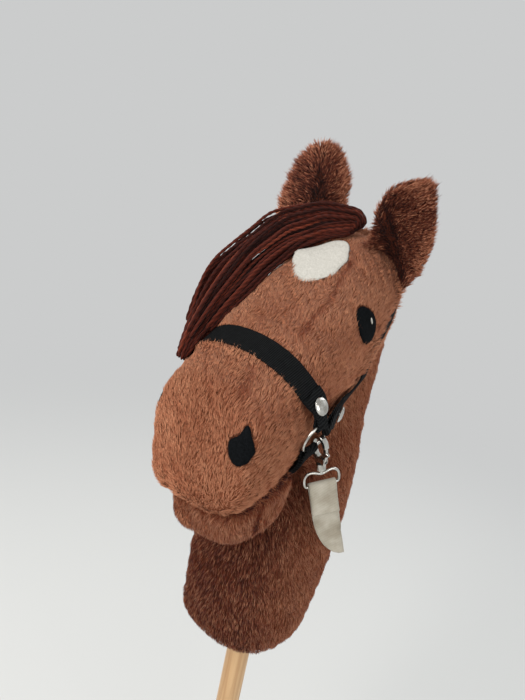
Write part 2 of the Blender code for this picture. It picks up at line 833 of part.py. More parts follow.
def star_outline(turn):
    place = turn / (2.0 * math.pi) * len(STAR_REACH)
    low = int(place)
    f = place - low
    start = STAR_REACH[low % len(STAR_REACH)]
    end = STAR_REACH[(low + 1) % len(STAR_REACH)]
    return start + (end - start) * f * f * (3.0 - 2.0 * f)


def eye_outline(turn):
    c, s = math.cos(turn), math.sin(turn)
    wide = 13.8 - 1.8 * c
    return 1.0 / math.sqrt((c / 19.5) ** 2 + (s / wide) ** 2)


def glint_outline(turn):
    c, s = math.cos(turn), math.sin(turn)
    return 1.0 / math.sqrt((c / 3.6) ** 2 + (s / 0.9) ** 2)


def nostril_outline(turn):
    c, s = math.cos(turn), math.sin(turn)
    wide = 10.6 - (5.4 if s > 0 else 7.4) * max(c, 0.0)
    return 1.0 / math.sqrt((c / 16.5) ** 2 + (s / wide) ** 2)


star = patch("star", (0.0915, 91.0), 0.0, star_outline, "white_felt", PATCH_LIFT, FELT, 28)
eye_left = patch("eye_left", (0.1085, 17.5), -0.20, eye_outline, "black_felt",
                 PATCH_LIFT, FELT, 24)
mirror_body(eye_left, "eye_right", "black_felt")
glint_left = patch("eye_glint_left", (0.1030, 18.0), 0.25, glint_outline, "white_felt",
                   PATCH_LIFT + FELT + 1.4 * GAP, 0.8 * MM, 10)
mirror_body(glint_left, "eye_glint_right", "white_felt")
nostril_left = patch("nostril_left", (0.2819, 31.6), 0.58, nostril_outline, "black_felt",
                     PATCH_LIFT, FELT, 24)
# The right nostril is sewn a little farther back than the left
pattern = patch("nostril_pattern", (0.2655, 17.0), 0.45, nostril_outline, "black_felt",
                PATCH_LIFT, FELT, 24)
mirror_body(pattern, "nostril_right", "black_felt")
bpy.data.objects.remove(pattern, do_unlink=True)

# Forelock: a bundle of yarn swept over to the right side of the face
# Rows: share of its run, x, y of the middle, its height over the neck's foot, half width,
# half thickness (mm)
FORELOCK_FACING = Vector((0.54, -0.80, 0.26))
FORELOCK_ROWS = (
    (0.00, 4.0, 47.5, 431.5, 12.0, 7.0),
    (0.10, -1.0, 46.0, 435.0, 14.0, 8.0),
    (0.26, -26.0, 30.0, 429.0, 18.5, 9.0),
    (0.44, -49.0, 6.0, 413.0, 21.0, 10.0),
    (0.62, -54.0, -30.0, 387.0, 19.0, 10.0),
    (0.78, -52.0, -60.0, 360.0, 16.0, 9.0),
    (0.90, -50.0, -78.0, 341.0, 11.0, 7.0),
    (1.00, -48.0, -92.0, 327.0, 4.5, 3.5),
)
rings = []
for share in places(FORELOCK_ROWS, (2, 3, 3, 3, 3, 2, 2)):
    x, y, z, wide, thick = station_at(FORELOCK_ROWS, share)
    ahead_row = station_at(FORELOCK_ROWS, min(share + 0.02, 1.0))
    behind_row = station_at(FORELOCK_ROWS, max(share - 0.02, 0.0))
    ahead = (Vector(ahead_row[:3]) - Vector(behind_row[:3])).normalized()
    centre = Vector((x * MM, y * MM, NECK_FOOT + z * MM))
    outward = (FORELOCK_FACING - ahead * FORELOCK_FACING.dot(ahead)).normalized()
    across = outward.cross(ahead)
    ring = []
    for j in range(36):
        turn = 2.0 * math.pi * j / 36
        ripple = 1.0 + 0.07 * math.cos(8.0 * turn)
        u, v = oval(turn, wide * MM * ripple, thick * MM * ripple, 2.4)
        ring.append(centre + across * u + outward * v)
    rings.append(ring)
forelock = loft("forelock", rings, "yarn")
cut(forelock, head_room, grown(ear_right), grown(star), grown(ear_left))
keep_main(forelock)
dress(forelock, "yarn", True)

# Mane: yarn lying along the back and the right side of the neck
MANE_TOP = 322.0
MANE_FOOT = 62.0
MANE_ROOT_ANGLE = 84.0
MANE_TIP_ANGLE = 162.0
MANE_STEPS = 9
rings = []
for i in range(15):
    rise = MANE_FOOT + (MANE_TOP - MANE_FOOT) * i / 14
    ends = math.sin(math.pi * (0.06 + 0.88 * i / 14)) ** 0.5
    outer, inner = [], []
    for j in range(MANE_STEPS):
        f = j / (MANE_STEPS - 1)
        angle = MANE_ROOT_ANGLE + (MANE_TIP_ANGLE - MANE_ROOT_ANGLE) * f
        ripple = 1.0 + 0.10 * math.cos(2.0 * math.pi * (1.7 * i + 0.2 * j))
        round_off = math.sqrt(max(1.0 - abs(2.0 * f - 1.0) ** 4, 0.06))
        thick = (12.0 - 6.0 * f) * ends * ripple * round_off * MM
        drop = rise - 16.0 * f
        skin, normal = neck_skin(drop, angle), neck_normal(drop, angle)
        inner.append(skin + normal * 0.8 * MM)
        outer.append(skin + normal * (0.8 * MM + thick))
    rings.append(outer + inner[::-1])
mane = loft("mane", rings, "yarn")
cut(mane, head_room, grown(headpiece), grown(neck))
keep_main(mane)
dress(mane, "yarn", True)

# Lead clip
HOOK_ANGLE = math.radians(204.0)
wire_out = ring_up * math.cos(HOOK_ANGLE) + ring_fore * math.sin(HOOK_ANGLE)
wire_run = ring_fore * math.cos(HOOK_ANGLE) - ring_up * math.sin(HOOK_ANGLE)
wire_spot = ring_centre + wire_out * RING_RADIUS
clip_y = -HANG
clip_z = (wire_run - clip_y * wire_run.dot(clip_y)).normalized()
if clip_z.y > 0:
    clip_z = -clip_z
clip_z = Matrix.Rotation(CLIP_TWIST, 3, clip_y) @ clip_z
clip_x = clip_y.cross(clip_z)
clip_origin = wire_spot - (clip_x * CLIP_WIRE.x + clip_y * CLIP_WIRE.y) * MM
clip = axes_frame(clip_origin, clip_x, clip_y, clip_z) @ Matrix.Scale(MM, 4)

face_x = Vector((math.cos(TAB_FACING), math.sin(TAB_FACING), 0.0))
face_x = (face_x - clip_y * face_x.dot(clip_y)).normalized()
face_z = face_x.cross(clip_y)
eye_frame = axes_frame(clip_origin, face_x, clip_y, face_z) @ Matrix.Scale(MM, 4)


def arc(centre, radius, start, end, count):
    spots = []
    for i in range(count + 1):
        turn = math.radians(start + (end - start) * i / count)
        spots.append((centre[0] + radius * math.cos(turn), centre[1] + radius * math.sin(turn)))
    return spots


def plate(name, outline, thick, frame, look=None, bevel=0.35):
    count = len(outline)
    points = [Vector((x, y, -thick / 2)) for x, y in outline]
    points += [Vector((x, y, thick / 2)) for x, y in outline]
    faces = [tuple(range(count))[::-1], tuple(range(count, 2 * count))]
    for j in range(count):
        k = (j + 1) % count
        faces.append((j, k, count + k, count + j))
    work = bmesh.new()
    spots = [work.verts.new(p) for p in points]
    for face in faces:
        work.faces.new([spots[i] for i in face])
    bmesh.ops.recalc_face_normals(work, faces=work.faces)
    if bevel > 0:
        rim = [e for e in work.edges if abs(e.verts[0].co.z - e.verts[1].co.z) < 1e-6]
        bmesh.ops.bevel(work, geom=rim, offset=bevel, segments=1, affect="EDGES")
    work.transform(frame)
    work.verts.ensure_lookup_table()
    work.verts.index_update()
    made = [v.co.copy() for v in work.verts]
    loops = [tuple(v.index for v in f.verts) for f in work.faces]
    work.free()
    return add_body(name, made, loops, look, smooth=False)


claw_outline = [(-3.4, -19.0), (-4.8, -16.0), (-6.8, -11.0), (-8.1, -5.8)]
claw_outline += arc((0.0, 0.0), CLIP_OUTER, 184, -10, 16)
claw_outline += arc((0.0, 0.0), CLIP_INNER, -10, 184, 14)
claw_outline += [(-4.5, -6.5), (-3.0, -9.8), (-0.6, -11.4), (5.8, -11.4)]
claw_outline += [(6.6, -13.2), (5.4, -16.9), (3.4, -19.0)]
snap_body = plate("snap_body", claw_outline, CLIP_THICKNESS, clip, "nickel")
stem_turn = Matrix.Rotation(math.radians(90.0), 4, "X")
collar = lathe("snap_collar", (
    (0.0, 17.3),
    (3.1, 17.3),
    (3.9, 17.8),
    (4.0, 18.6),
    (4.0, 23.4),
    (3.5, 24.0),
    (0.0, 24.0),
), clip @ stem_turn, segments=20)
combine(snap_body, collar, "UNION")
cavity = lathe("snap_cavity", (
    (0.0, 18.0),
    (2.8, 18.0),
    (2.8, 20.4),
    (1.7, 20.4),
    (1.7, 26.0),
    (0.0, 26.0),
), clip @ stem_turn, segments=16)
slot_outline = [(0.6, -16.2), (9.0, -16.2), (9.0, -8.0), (0.6, -8.0)]
slot = plate("gate_slot", slot_outline, GATE_THICKNESS + 2 * GAP / MM, clip, bevel=0)
pivot_frame = clip @ Matrix.Translation((GATE_PIVOT.x, GATE_PIVOT.y, 0.0))
pin_hole = lathe("pin_hole", ((0.0, -4.0), (1.1, -4.0), (1.1, 4.0), (0.0, 4.0)),
                 pivot_frame, segments=16)
cut(snap_body, cavity, slot, pin_hole)
keep_main(snap_body)
dress(snap_body, "nickel", False)
set_origin(snap_body, wire_spot)

gate_outline = arc(GATE_PIVOT, 2.1, 160, 345, 9)
gate_outline += [(6.6, -11.6), (7.6, -8.9), (9.4, -8.3), (10.2, -7.3), (10.0, -6.2)]
gate_outline += [(8.2, -5.4), (8.3, -2.6), (7.8, -2.0), (5.5, -2.0), (5.1, -2.5), (4.4, -7.0)]
snap_gate = plate("snap_gate", gate_outline, GATE_THICKNESS, clip, "nickel", bevel=0.25)
cut(snap_gate, pin_hole)
dress(snap_gate, "nickel", False)
set_origin(snap_gate, pivot_frame.translation)
lathe("snap_gate_pin", ((0.0, -2.1), (0.8, -2.1), (0.8, 2.1), (0.0, 2.1)),
      pivot_frame, "nickel", segments=12)

# Swivel eye: a headed post that turns in the collar and a heart-shaped wire loop
EYE_HALF = [(3.8, -26.8), (8.0, -25.4), (11.8, -26.0), (14.2, -28.6), (15.0, -32.0),
            (14.9, -35.0), (14.3, -37.2), (12.6, BAR_DROP)]


def smooth_loop(spots, cuts):
    count = len(spots)
    line = []
    for i in range(count):
        a, b = Vector(spots[i - 1]), Vector(spots[i])
        c, d = Vector(spots[(i + 1) % count]), Vector(spots[(i + 2) % count])
        for step in range(cuts):
            f = step / cuts
            line.append((2 * b + (c - a) * f + (2 * a - 5 * b + 4 * c - d) * f**2
                         + (3 * b - a - 3 * c + d) * f**3) / 2)
    return line


loop_line = [(0.0, -28.0)] + EYE_HALF + [(5.0, BAR_DROP), (-5.0, BAR_DROP)]
loop_line += [(-x, y) for x, y in reversed(EYE_HALF)]
loop_line = smooth_loop(loop_line, 2)
loop_wire = WIRE_RADIUS / MM
rings = []
for i, spot in enumerate(loop_line):
    run = (loop_line[(i + 1) % len(loop_line)] - loop_line[i - 1]).normalized()
    side = Vector((run.y, -run.x, 0.0))
    ring = []
    for j in range(8):
        bend = 2.0 * math.pi * (j + 0.5) / 8
        local = Vector((spot.x, spot.y, 0.0)) + side * loop_wire * math.cos(bend)
        ring.append(eye_frame @ (local + Vector((0.0, 0.0, loop_wire * math.sin(bend)))))
    rings.append(ring)
snap_eye = loft("snap_eye", rings, "nickel", closed=True)
post = lathe("eye_post", (
    (0.0, 18.4),
    (2.5, 18.4),
    (2.5, 20.0),
    (1.4, 20.0),
    (1.4, 27.9),
    (0.0, 27.9),
), eye_frame @ stem_turn, segments=20)
combine(snap_eye, post, "UNION")
dress(snap_eye, "nickel", True)
set_origin(snap_eye, eye_frame @ Vector((0.0, -20.0, 0.0)))

# Tab: one strip folded over the loop's bar, the back layer cut to a slanting round end
TURN = loop_wire + GAP / MM + TAB_THICKNESS / 2
front_z = TAB_THICKNESS / 2 + 0.2
steps = [(BAR_DROP - TAB_FOLD + 6.2 * i, front_z, TAB_FOLD - 6.2 * i) for i in range(4)]
steps += [(BAR_DROP - 6.0, front_z + 0.6, 6.0), (BAR_DROP - 2.5, TURN - 0.25, 2.5)]
for degrees in range(0, 181, 30):
    bend = math.radians(degrees)
    steps.append((BAR_DROP + TURN * math.sin(bend), TURN * math.cos(bend), 0.0))
steps += [(BAR_DROP - 2.5, 0.25 - TURN, 2.5), (BAR_DROP - 6.0, -front_z - 0.6, 6.0)]
fall = 10.2
while fall < TAB_LENGTH:
    steps.append((BAR_DROP - fall, -front_z, fall))
    fall += 4.1
steps.append((BAR_DROP - TAB_LENGTH, -front_z, TAB_LENGTH))
rings = []
for i, (y, z, fall) in enumerate(steps):
    before, after = steps[max(i - 1, 0)], steps[min(i + 1, len(steps) - 1)]
    run = Vector((after[0] - before[0], after[1] - before[1])).normalized()
    face = Vector((0.0, -run.y, run.x)) * TAB_THICKNESS / 2
    round_off = max(fall - 33.0, 0.0) / (TAB_LENGTH - 32.5)
    left = -TAB_WIDTH / 2 + TAB_LEAN * fall
    if z < 0:
        left += (TAB_WIDTH - 1.0) * (1.0 - math.sqrt(1.0 - round_off**2))
    right = TAB_WIDTH / 2 + TAB_LEAN * fall
    ring = [Vector((left, y, z)) + face, Vector((right, y, z)) + face,
            Vector((right, y, z)) - face, Vector((left, y, z)) - face]
    rings.append([eye_frame @ p for p in ring])
tab = loft("tab", rings, "tape", smooth=False)
set_origin(tab, eye_frame @ Vector((0.0, BAR_DROP, 0.0)))
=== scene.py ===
import math

import bmesh
import bpy
import numpy as np
from mathutils import Matrix, Vector
from mathutils.bvhtree import BVHTree


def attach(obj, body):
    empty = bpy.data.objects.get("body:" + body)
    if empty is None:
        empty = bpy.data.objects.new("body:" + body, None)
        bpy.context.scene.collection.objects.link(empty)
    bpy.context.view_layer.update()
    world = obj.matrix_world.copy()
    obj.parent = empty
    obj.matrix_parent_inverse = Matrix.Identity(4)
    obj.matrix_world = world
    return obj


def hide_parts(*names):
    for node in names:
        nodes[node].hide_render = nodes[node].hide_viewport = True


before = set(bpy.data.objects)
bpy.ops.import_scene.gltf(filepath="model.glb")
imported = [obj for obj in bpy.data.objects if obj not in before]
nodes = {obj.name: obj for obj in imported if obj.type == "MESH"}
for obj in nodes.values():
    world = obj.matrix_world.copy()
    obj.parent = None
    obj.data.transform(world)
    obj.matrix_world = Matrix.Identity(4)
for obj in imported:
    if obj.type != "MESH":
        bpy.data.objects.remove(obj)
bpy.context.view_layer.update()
mm = 0.001

# Camera, floor and light

viewing = {
    "target": Vector((0.0, -0.065, 0.719)),
    "azimuth": 34.0,
    "elevation": 15.0,
    "roll": 11.0,
    "distance": 0.4295,
    "lens": 27.05,
    "sensorHeight": 36.0,
    "nearest": 0.01,
}


def addObject(name, data):
    made = bpy.data.objects.new(name, data)
    bpy.context.scene.collection.objects.link(made)
    return made


def addCamera():
    azimuth, elevation, roll = (math.radians(viewing[key])
                                for key in ("azimuth", "elevation", "roll"))
    back = Vector((math.sin(azimuth) * math.cos(elevation),
                   -math.cos(azimuth) * math.cos(elevation), math.sin(elevation)))
    right = Vector((math.cos(azimuth), math.sin(azimuth), 0.0))
    up = back.cross(right)
    turned = right * math.cos(roll) + up * math.sin(roll)
    upright = up * math.cos(roll) - right * math.sin(roll)
    lens = bpy.data.cameras.new("viewCamera")
    lens.lens = viewing["lens"]
    lens.sensor_fit = "VERTICAL"
    lens.sensor_height = viewing["sensorHeight"]
    lens.clip_start = viewing["nearest"]
    camera = addObject("viewCamera", lens)
    turn = Matrix((turned, upright, back)).transposed().to_4x4()
    camera.matrix_world = Matrix.Translation(viewing["target"] + back * viewing["distance"]) @ turn
    bpy.context.scene.camera = camera


def newNode(tree, kind, settings=None, sockets=None):
    node = tree.nodes.new("ShaderNode" + kind)
    for key, value in (settings or {}).items():
        setattr(node, key, value)
    for key, value in (sockets or {}).items():
        if isinstance(value, bpy.types.NodeSocket):
            tree.links.new(value, node.inputs[key])
        else:
            node.inputs[key].default_value = value
    return node


def newMaterial(name, roughness, specular, sheen=0.0, metallic=0.0):
    material = bpy.data.materials.new(name)
    material.use_nodes = True
    tree = material.node_tree
    shader = tree.nodes["Principled BSDF"]
    values = {"Roughness": roughness, "Specular IOR Level": specular, "Sheen Weight": sheen,
              "Metallic": metallic}
    for key, value in values.items():
        shader.inputs[key].default_value = value
    return material, tree, shader


def rgb(red, green, blue):  # screen values 0 to 255, made linear by the usual formula
    linear = []
    for value in (red, green, blue):
        share = value / 255.0
        linear.append(share / 12.92 if share < 0.04045 else ((share + 0.055) / 1.055) ** 2.4)
    return (*linear, 1.0)


def grey(value):
    return (value, value, value, 1.0)


def ramp(tree, factor, stops):
    node = newNode(tree, "ValToRGB", sockets={"Fac": factor})
    bar = node.color_ramp.elements
    bar[0].position, bar[0].color = stops[0]
    bar[1].position, bar[1].color = stops[-1]
    for place, colour in stops[1:-1]:
        bar.new(place).color = colour
    return node.outputs["Color"]


def maths(tree, operation, first, second=0.0):
    return newNode(tree, "Math", {"operation": operation}, {0: first, 1: second}).outputs[0]


def multiplied(tree, first, second):  # one colour times another
    return newNode(tree, "Mix", {"data_type": "RGBA", "blend_type": "MULTIPLY"},
                   {"Factor": 1.0, "A": first, "B": second}).outputs["Result"]


def noise(tree, place, scale, detail, distortion=0.0):
    sockets = {"Vector": place, "Scale": scale, "Detail": detail, "Distortion": distortion}
    return newNode(tree, "TexNoise", sockets=sockets).outputs["Fac"]


def objectPlace(tree):
    return newNode(tree, "TexCoord").outputs["Object"]


def mapValues(tree, name):  # the two values of a map that the mesh carries
    place = newNode(tree, "UVMap", {"uv_map": name}).outputs["UV"]
    split = newNode(tree, "SeparateXYZ", sockets={0: place})
    return split.outputs["X"], split.outputs["Y"]


def paint(tree, shader, tint):
    tree.links.new(tint, shader.inputs["Base Color"])


def addBump(tree, shader, height, strength, distance):
    bump = newNode(tree, "Bump", sockets={"Height": height, "Strength": strength,
                                          "Distance": distance})
    tree.links.new(bump.outputs[0], shader.inputs["Normal"])


def seenDirectly(tree):  # 1 for what the camera sees, also in the metal, 0 for the light's own way
    path = newNode(tree, "LightPath")
    return maths(tree, "MAXIMUM", path.outputs["Is Camera Ray"], path.outputs["Is Glossy Ray"])


def mixInto(tree, output, share, first, second):
    mix = newNode(tree, "MixShader", sockets={0: share, 1: first.outputs[0],
                                              2: second.outputs[0]})
    tree.links.new(mix.outputs[0], tree.nodes[output].inputs["Surface"])


studio = {
    "backdrop": rgb(203, 204, 204),
    "floor": rgb(205, 204, 200),
    "floorRadius": 3.0,
    "floorSides": 96,
    "floorDrop": 0.0005,
    "fade": (0.5, 2.2),  # from here to there the floor turns into the backdrop
    "sky": (0.92, 0.96, 1.0, 1.0),
    "fill": 0.80,
    "lamps": (  # place, aim, size, watts, colour
        ((-0.7, -1.6, 1.9), (0.0, -0.05, 0.72), 1.2, 38.0, (1.0, 0.98, 0.96)),
        ((1.8, -1.0, 1.2), (0.0, -0.05, 0.70), 1.4, 14.0, (1.0, 0.97, 0.94)),
        ((0.2, 1.6, 1.9), (0.0, 0.0, 0.75), 1.2, 10.0, (0.95, 0.97, 1.0)),
    ),
}


def meshFrom(name, bm):
    mesh = bpy.data.meshes.new(name)
    bm.to_mesh(mesh)
    bm.free()
    return mesh


def addFloor():  # it fades into the backdrop far from the object, so that no horizon shows
    bm = bmesh.new()
    bmesh.ops.create_circle(bm, cap_ends=True, segments=studio["floorSides"],
                            radius=studio["floorRadius"])
    floor = addObject("studioFloor", meshFrom("studioFloor", bm))
    floor.location = (0.0, 0.0, -studio["floorDrop"])
    material, tree, shader = newMaterial("paleFloor", roughness=0.9, specular=0.1)
    shader.inputs["Base Color"].default_value = studio["floor"]
    away = newNode(tree, "VectorMath", {"operation": "LENGTH"}, {0: objectPlace(tree)})
    near, far = studio["fade"]
    fade = newNode(tree, "MapRange", {"interpolation_type": "SMOOTHSTEP"},
                   {"Value": away.outputs["Value"], "From Min": near, "From Max": far})
    share = maths(tree, "MULTIPLY", fade.outputs["Result"], seenDirectly(tree))
    glow = newNode(tree, "Emission", sockets={"Color": studio["backdrop"], "Strength": 1.0})
    mixInto(tree, "Material Output", share, shader, glow)
    floor.data.materials.append(material)


def addWorld():
    world = bpy.data.worlds.new("studioWorld")
    bpy.context.scene.world = world
    world.use_nodes = True
    tree = world.node_tree
    sky = tree.nodes["Background"]
    sky.inputs["Color"].default_value = studio["sky"]
    sky.inputs["Strength"].default_value = studio["fill"]
    plain = newNode(tree, "Background", sockets={"Color": studio["backdrop"], "Strength": 1.0})
    mixInto(tree, "World Output", seenDirectly(tree), sky, plain)


def addLamps():
    for i, (place, aim, size, watts, colour) in enumerate(studio["lamps"]):
        lamp = bpy.data.lights.new("softLamp%d" % i, "AREA")
        lamp.size = size
        lamp.energy = watts
        lamp.color = colour
        made = addObject(lamp.name, lamp)
        made.location = place
        made.rotation_mode = "QUATERNION"
        made.rotation_quaternion = (Vector(aim) - Vector(place)).to_track_quat("-Z", "Y")


addCamera()
addFloor()
addWorld()
addLamps()
bpy.context.scene.view_settings.view_transform = "Standard"
print("stage and camera ready")

# Shared ways of making a piece


def addPiece(name, bm, material, body, replaces):
    return addMesh(name, meshFrom(name, bm), material, body, replaces)


def addMesh(name, mesh, material, body, replaces=()):
    piece = addObject(name, mesh)
    mesh.materials.append(material)
    smoothFaces(mesh, True)
    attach(piece, body)
    if replaces:
        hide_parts(*replaces)
    return piece


def smoothFaces(mesh, smooth):
    mesh.polygons.foreach_set("use_smooth", np.full(len(mesh.polygons), smooth, bool))


def dress(name, material):  # gives a CAD node that stays in view its material
    nodes[name].data.materials.clear()
    nodes[name].data.materials.append(material)


def nameOf(node):  # eye_left becomes EyeLeft
    return node.title().replace("_", "")


def nodeCopy(*names):  # merged copy of one or more CAD nodes
    bm = bmesh.new()
    for name in names:
        bm.from_mesh(nodes[name].data)
    bmesh.ops.remove_doubles(bm, verts=bm.verts, dist=0.01 * mm)
    return bm


def treeOf(*names):
    bm = nodeCopy(*names)
    tree = BVHTree.FromBMesh(bm)
    bm.free()
    return tree


def sharpen(bm, degrees):  # edges past this angle stay crisp
    limit = math.radians(degrees)
    for edge in bm.edges:
        edge.smooth = len(edge.link_faces) != 2 or edge.calc_face_angle(0.0) < limit


def copyPiece(name, crisp, pieceName, material, body):  # takes the place of one CAD node
    bm = nodeCopy(name)
    sharpen(bm, crisp)
    return addPiece(pieceName, bm, material, body, (name,))


def rounded(levels):
    return ("SUBSURF", {"levels": levels, "render_levels": levels})


def smoothed(times):
    return ("SMOOTH", {"factor": 0.5, "iterations": times})


def drawnIn(inset):
    return ("DISPLACE", {"mid_level": 0.0, "strength": -inset})


def withModifiers(piece, *steps):  # applies modifiers given as (kind, settings)
    for kind, settings in steps:
        step = piece.modifiers.new("step", kind)
        for key, value in settings.items():
            setattr(step, key, value)
    graph = bpy.context.evaluated_depsgraph_get()
    made = bpy.data.meshes.new_from_object(piece.evaluated_get(graph))
    piece.modifiers.clear()
    piece.data = made


def readRows(items, key, kind=np.float32):  # three values for each vertex or triangle
    found = np.empty(len(items) * 3, kind)
    items.foreach_get(key, found)
    return found.reshape(-1, 3)


def spotsOf(mesh):
    return readRows(mesh.vertices, "co").astype(float)


def normalsOf(mesh):
    return readRows(mesh.vertices, "normal").astype(float)


def trianglesOf(mesh):
    mesh.calc_loop_triangles()
    return readRows(mesh.loop_triangles, "vertices", np.int32)


def setSpots(mesh, spots):
    mesh.vertices.foreach_set("co", spots.astype(np.float32).ravel())
    mesh.update()


def bigMesh(name, spots, faces, uvs):
    mesh = bpy.data.meshes.new(name)
    mesh.vertices.add(len(spots))
    mesh.vertices.foreach_set("co", spots.astype(np.float32).ravel())
    mesh.loops.add(len(faces) * 3)
    mesh.loops.foreach_set("vertex_index", faces.astype(np.int32).ravel())
    mesh.polygons.add(len(faces))
    mesh.polygons.foreach_set("loop_start", np.arange(0, len(faces) * 3, 3, dtype=np.int32))
    layer = mesh.uv_layers.new(name="OFBake")
    layer.data.foreach_set("uv", uvs[faces.ravel()].astype(np.float32).ravel())
    mesh.update(calc_edges=True)
    return mesh


def unit(vectors):
    return vectors / np.maximum(np.linalg.norm(vectors, axis=-1, keepdims=True), 1e-9)


def alongSurface(ways, facing):  # unit ways, without what points out of the surface
    return unit(ways - facing * (ways * facing).sum(1, keepdims=True))


def smoothShare(values, low, high):  # 0 up to low, 1 from high on
    share = np.clip((values - low) / (high - low), 0.0, 1.0)
    return share * share * (3.0 - 2.0 * share)


def bell(distance, spread):  # 1 at no distance, and nearly 0 at twice the spread
    return np.exp(-(distance / spread) ** 2)


def farFromPoint(spots, point):
    return np.linalg.norm(spots - np.array(point), axis=1)


def farFrom(tree, spots):
    return np.array([tree.find_nearest(Vector(p))[3] for p in spots])


anyTurn = 6.3  # radians, just over a whole turn
# waves added up in each column, how their rate varies, and what their sum is divided by
field = {"waves": 5, "pitch": (0.7, 1.4), "calm": 2.2}


def drift(spots, columns, size, seed):  # smooth wandering values, about -1 to 1 in each column
    rng = np.random.default_rng(seed)
    found = np.zeros((len(spots), columns))
    for column in range(columns):
        for _ in range(field["waves"]):
            way = unit(rng.normal(size=3)) * rng.uniform(*field["pitch"]) * 2.0 * math.pi / size
            found[:, column] += np.sin(spots @ way + rng.uniform(0, anyTurn))
    return found / field["calm"]


def addDrift(values, spots, drifts):  # adds drifts given as (size, seed, amount)
    for size, seed, amount in drifts:
        values = values + drift(spots, values.shape[1], size, seed) * amount
    return values


def doubleAreas(spots, tris):
    a, b, c = spots[tris[:, 0]], spots[tris[:, 1]], spots[tris[:, 2]]
    return np.linalg.norm(np.cross(b - a, c - a), axis=1)


def scatter(mesh, count, seed, weight=None):  # even random spots over a surface
    spots, normals, tris = spotsOf(mesh), normalsOf(mesh), trianglesOf(mesh)
    a, b, c = spots[tris[:, 0]], spots[tris[:, 1]], spots[tris[:, 2]]
    area = doubleAreas(spots, tris)
    if weight is not None:
        area = area * weight((a + b + c) / 3.0)
    rng = np.random.default_rng(seed)
    chosen = rng.choice(len(tris), count, p=area / area.sum())
    u, v = np.sqrt(rng.random(count)), rng.random(count)
    share = np.stack([1.0 - u, u * (1.0 - v), u * v], 1)[:, :, None]
    found = (np.stack([a[chosen], b[chosen], c[chosen]], 1) * share).sum(1)
    facing = unit((normals[tris[chosen]] * share).sum(1))
    return found, facing, rng


# Tufts, of which all fur and nap is made

tuft = {
    "sides": 3,
    "widest": 0.42,  # share of its length where it is thickest
    "flat": 0.7,
    "sunk": 0.5 * mm,
    "lift": (1.5, 0.75),  # how a standing tuft rises, and bends over
    "run": (0.45, 0.6),  # how a lying tuft runs along the skin
    "leastRun": 0.12,
    "paleFrom": (0.60, 0.90),  # the root's painted shade fades out: at this share of the length the shade is nearly the tip's
    "perPiece": 30000,
}


def furMaterial(name, look):  # across the map: shade of the tuft, up the map: root to tip, with painted shade at the root
    material, tree, shader = newMaterial(name, look["roughness"], look["specular"], look["sheen"])
    across, up = mapValues(tree, "OFBake")
    tint = ramp(tree, across, look["stops"])
    # painted shade: each root is darker, as if shaded by the tufts around it
    place, pale = tuft["paleFrom"]
    depth = ramp(tree, up, ((0.0, grey(look["rootShade"])), (place, grey(pale)),
                            (1.0, grey(1.0))))
    paint(tree, shader, multiplied(tree, tint, depth))
    return material


def tuftTemplate():  # a narrow spindle, root at 0, tip at 1
    bm = bmesh.new()
    middle = Matrix.Translation((0, 0, (1.0 + tuft["widest"]) / 2.0))
    bmesh.ops.create_cone(bm, cap_ends=True, cap_tris=True, segments=tuft["sides"], radius1=1.0,
                          radius2=0.0, depth=1.0 - tuft["widest"], matrix=middle)
    bmesh.ops.remove_doubles(bm, verts=bm.verts, dist=1e-6)
    foot = min(bm.verts, key=lambda v: v.co.xy.length + v.co.z)
    foot.co = (0.0, 0.0, 0.0)
    bmesh.ops.triangulate(bm, faces=bm.faces)
    bmesh.ops.recalc_face_normals(bm, faces=bm.faces)
    bm.verts.ensure_lookup_table()
    spots = np.array([v.co for v in bm.verts])
    faces = np.array([[v.index for v in f.verts] for f in bm.faces])
    bm.free()
    return spots, faces


tuftSpots, tuftFaces = tuftTemplate()


def plantTufts(name, roots, facing, comb, length, width, tint, rise, depth, material):
    # rise: how far the tuft stands off the skin, 0 flat to 1 upright; depth: how dark the painted
    # shade at its root is
    count = len(roots)
    comb = alongSurface(comb, facing)
    side = np.cross(comb, facing)
    z = tuftSpots[:, 2][None, :, None]
    rise = rise[:, None, None]
    lift = facing[:, None] * (rise * (tuft["lift"][0] * z - tuft["lift"][1] * z * z))
    run = comb[:, None] * ((1.0 - rise) * (tuft["run"][0] * z + tuft["run"][1] * z * z)
                           + tuft["leastRun"] * z)
    spine = roots[:, None] - facing[:, None] * tuft["sunk"] + (lift + run) * length[:, None, None]
    wide = side[:, None] * tuftSpots[None, :, 0:1] * width[:, None, None]
    deep = facing[:, None] * tuftSpots[None, :, 1:2] * width[:, None, None] * tuft["flat"]
    spots = spine + wide + deep
    # the map keeps a little off its own edges
    uvs = np.empty((count, len(tuftSpots), 2))
    uvs[:, :, 0] = np.clip(tint, 0.02, 0.98)[:, None]
    uvs[:, :, 1] = 0.97 - 0.94 * (1.0 - tuftSpots[None, :, 2]) * np.broadcast_to(depth, count)[:, None]
    for part, start in enumerate(range(0, count, tuft["perPiece"])):
        some = slice(start, min(start + tuft["perPiece"], count))
        many = some.stop - some.start
        faces = tuftFaces[None] + (np.arange(many) * len(tuftSpots))[:, None, None]
        mesh = bigMesh("%s%d" % (name, part), spots[some].reshape(-1, 3),
                       faces.reshape(-1, 3), uvs[some].reshape(-1, 2))
        addMesh("%s%d" % (name, part), mesh, material, "head")


# What lies on the pile: webbing presses it down, and patches take its place

strapTree = treeOf("noseband", "headpiece", "chin_strap")
headpieceTree = treeOf("headpiece")
maneTree = treeOf("mane")
patchTree = treeOf("star", "eye_left", "eye_right", "nostril_left", "nostril_right")
cover = {"start": 0.002, "reach": 0.014, "steep": 2.2}


def underCover(tree, roots, facing):
    found = np.zeros(len(roots), bool)
    for i in range(len(roots)):
        start = Vector(roots[i] - facing[i] * cover["start"])
        found[i] = tree.ray_cast(start, Vector(facing[i]), cover["reach"])[0] is not None
    return found


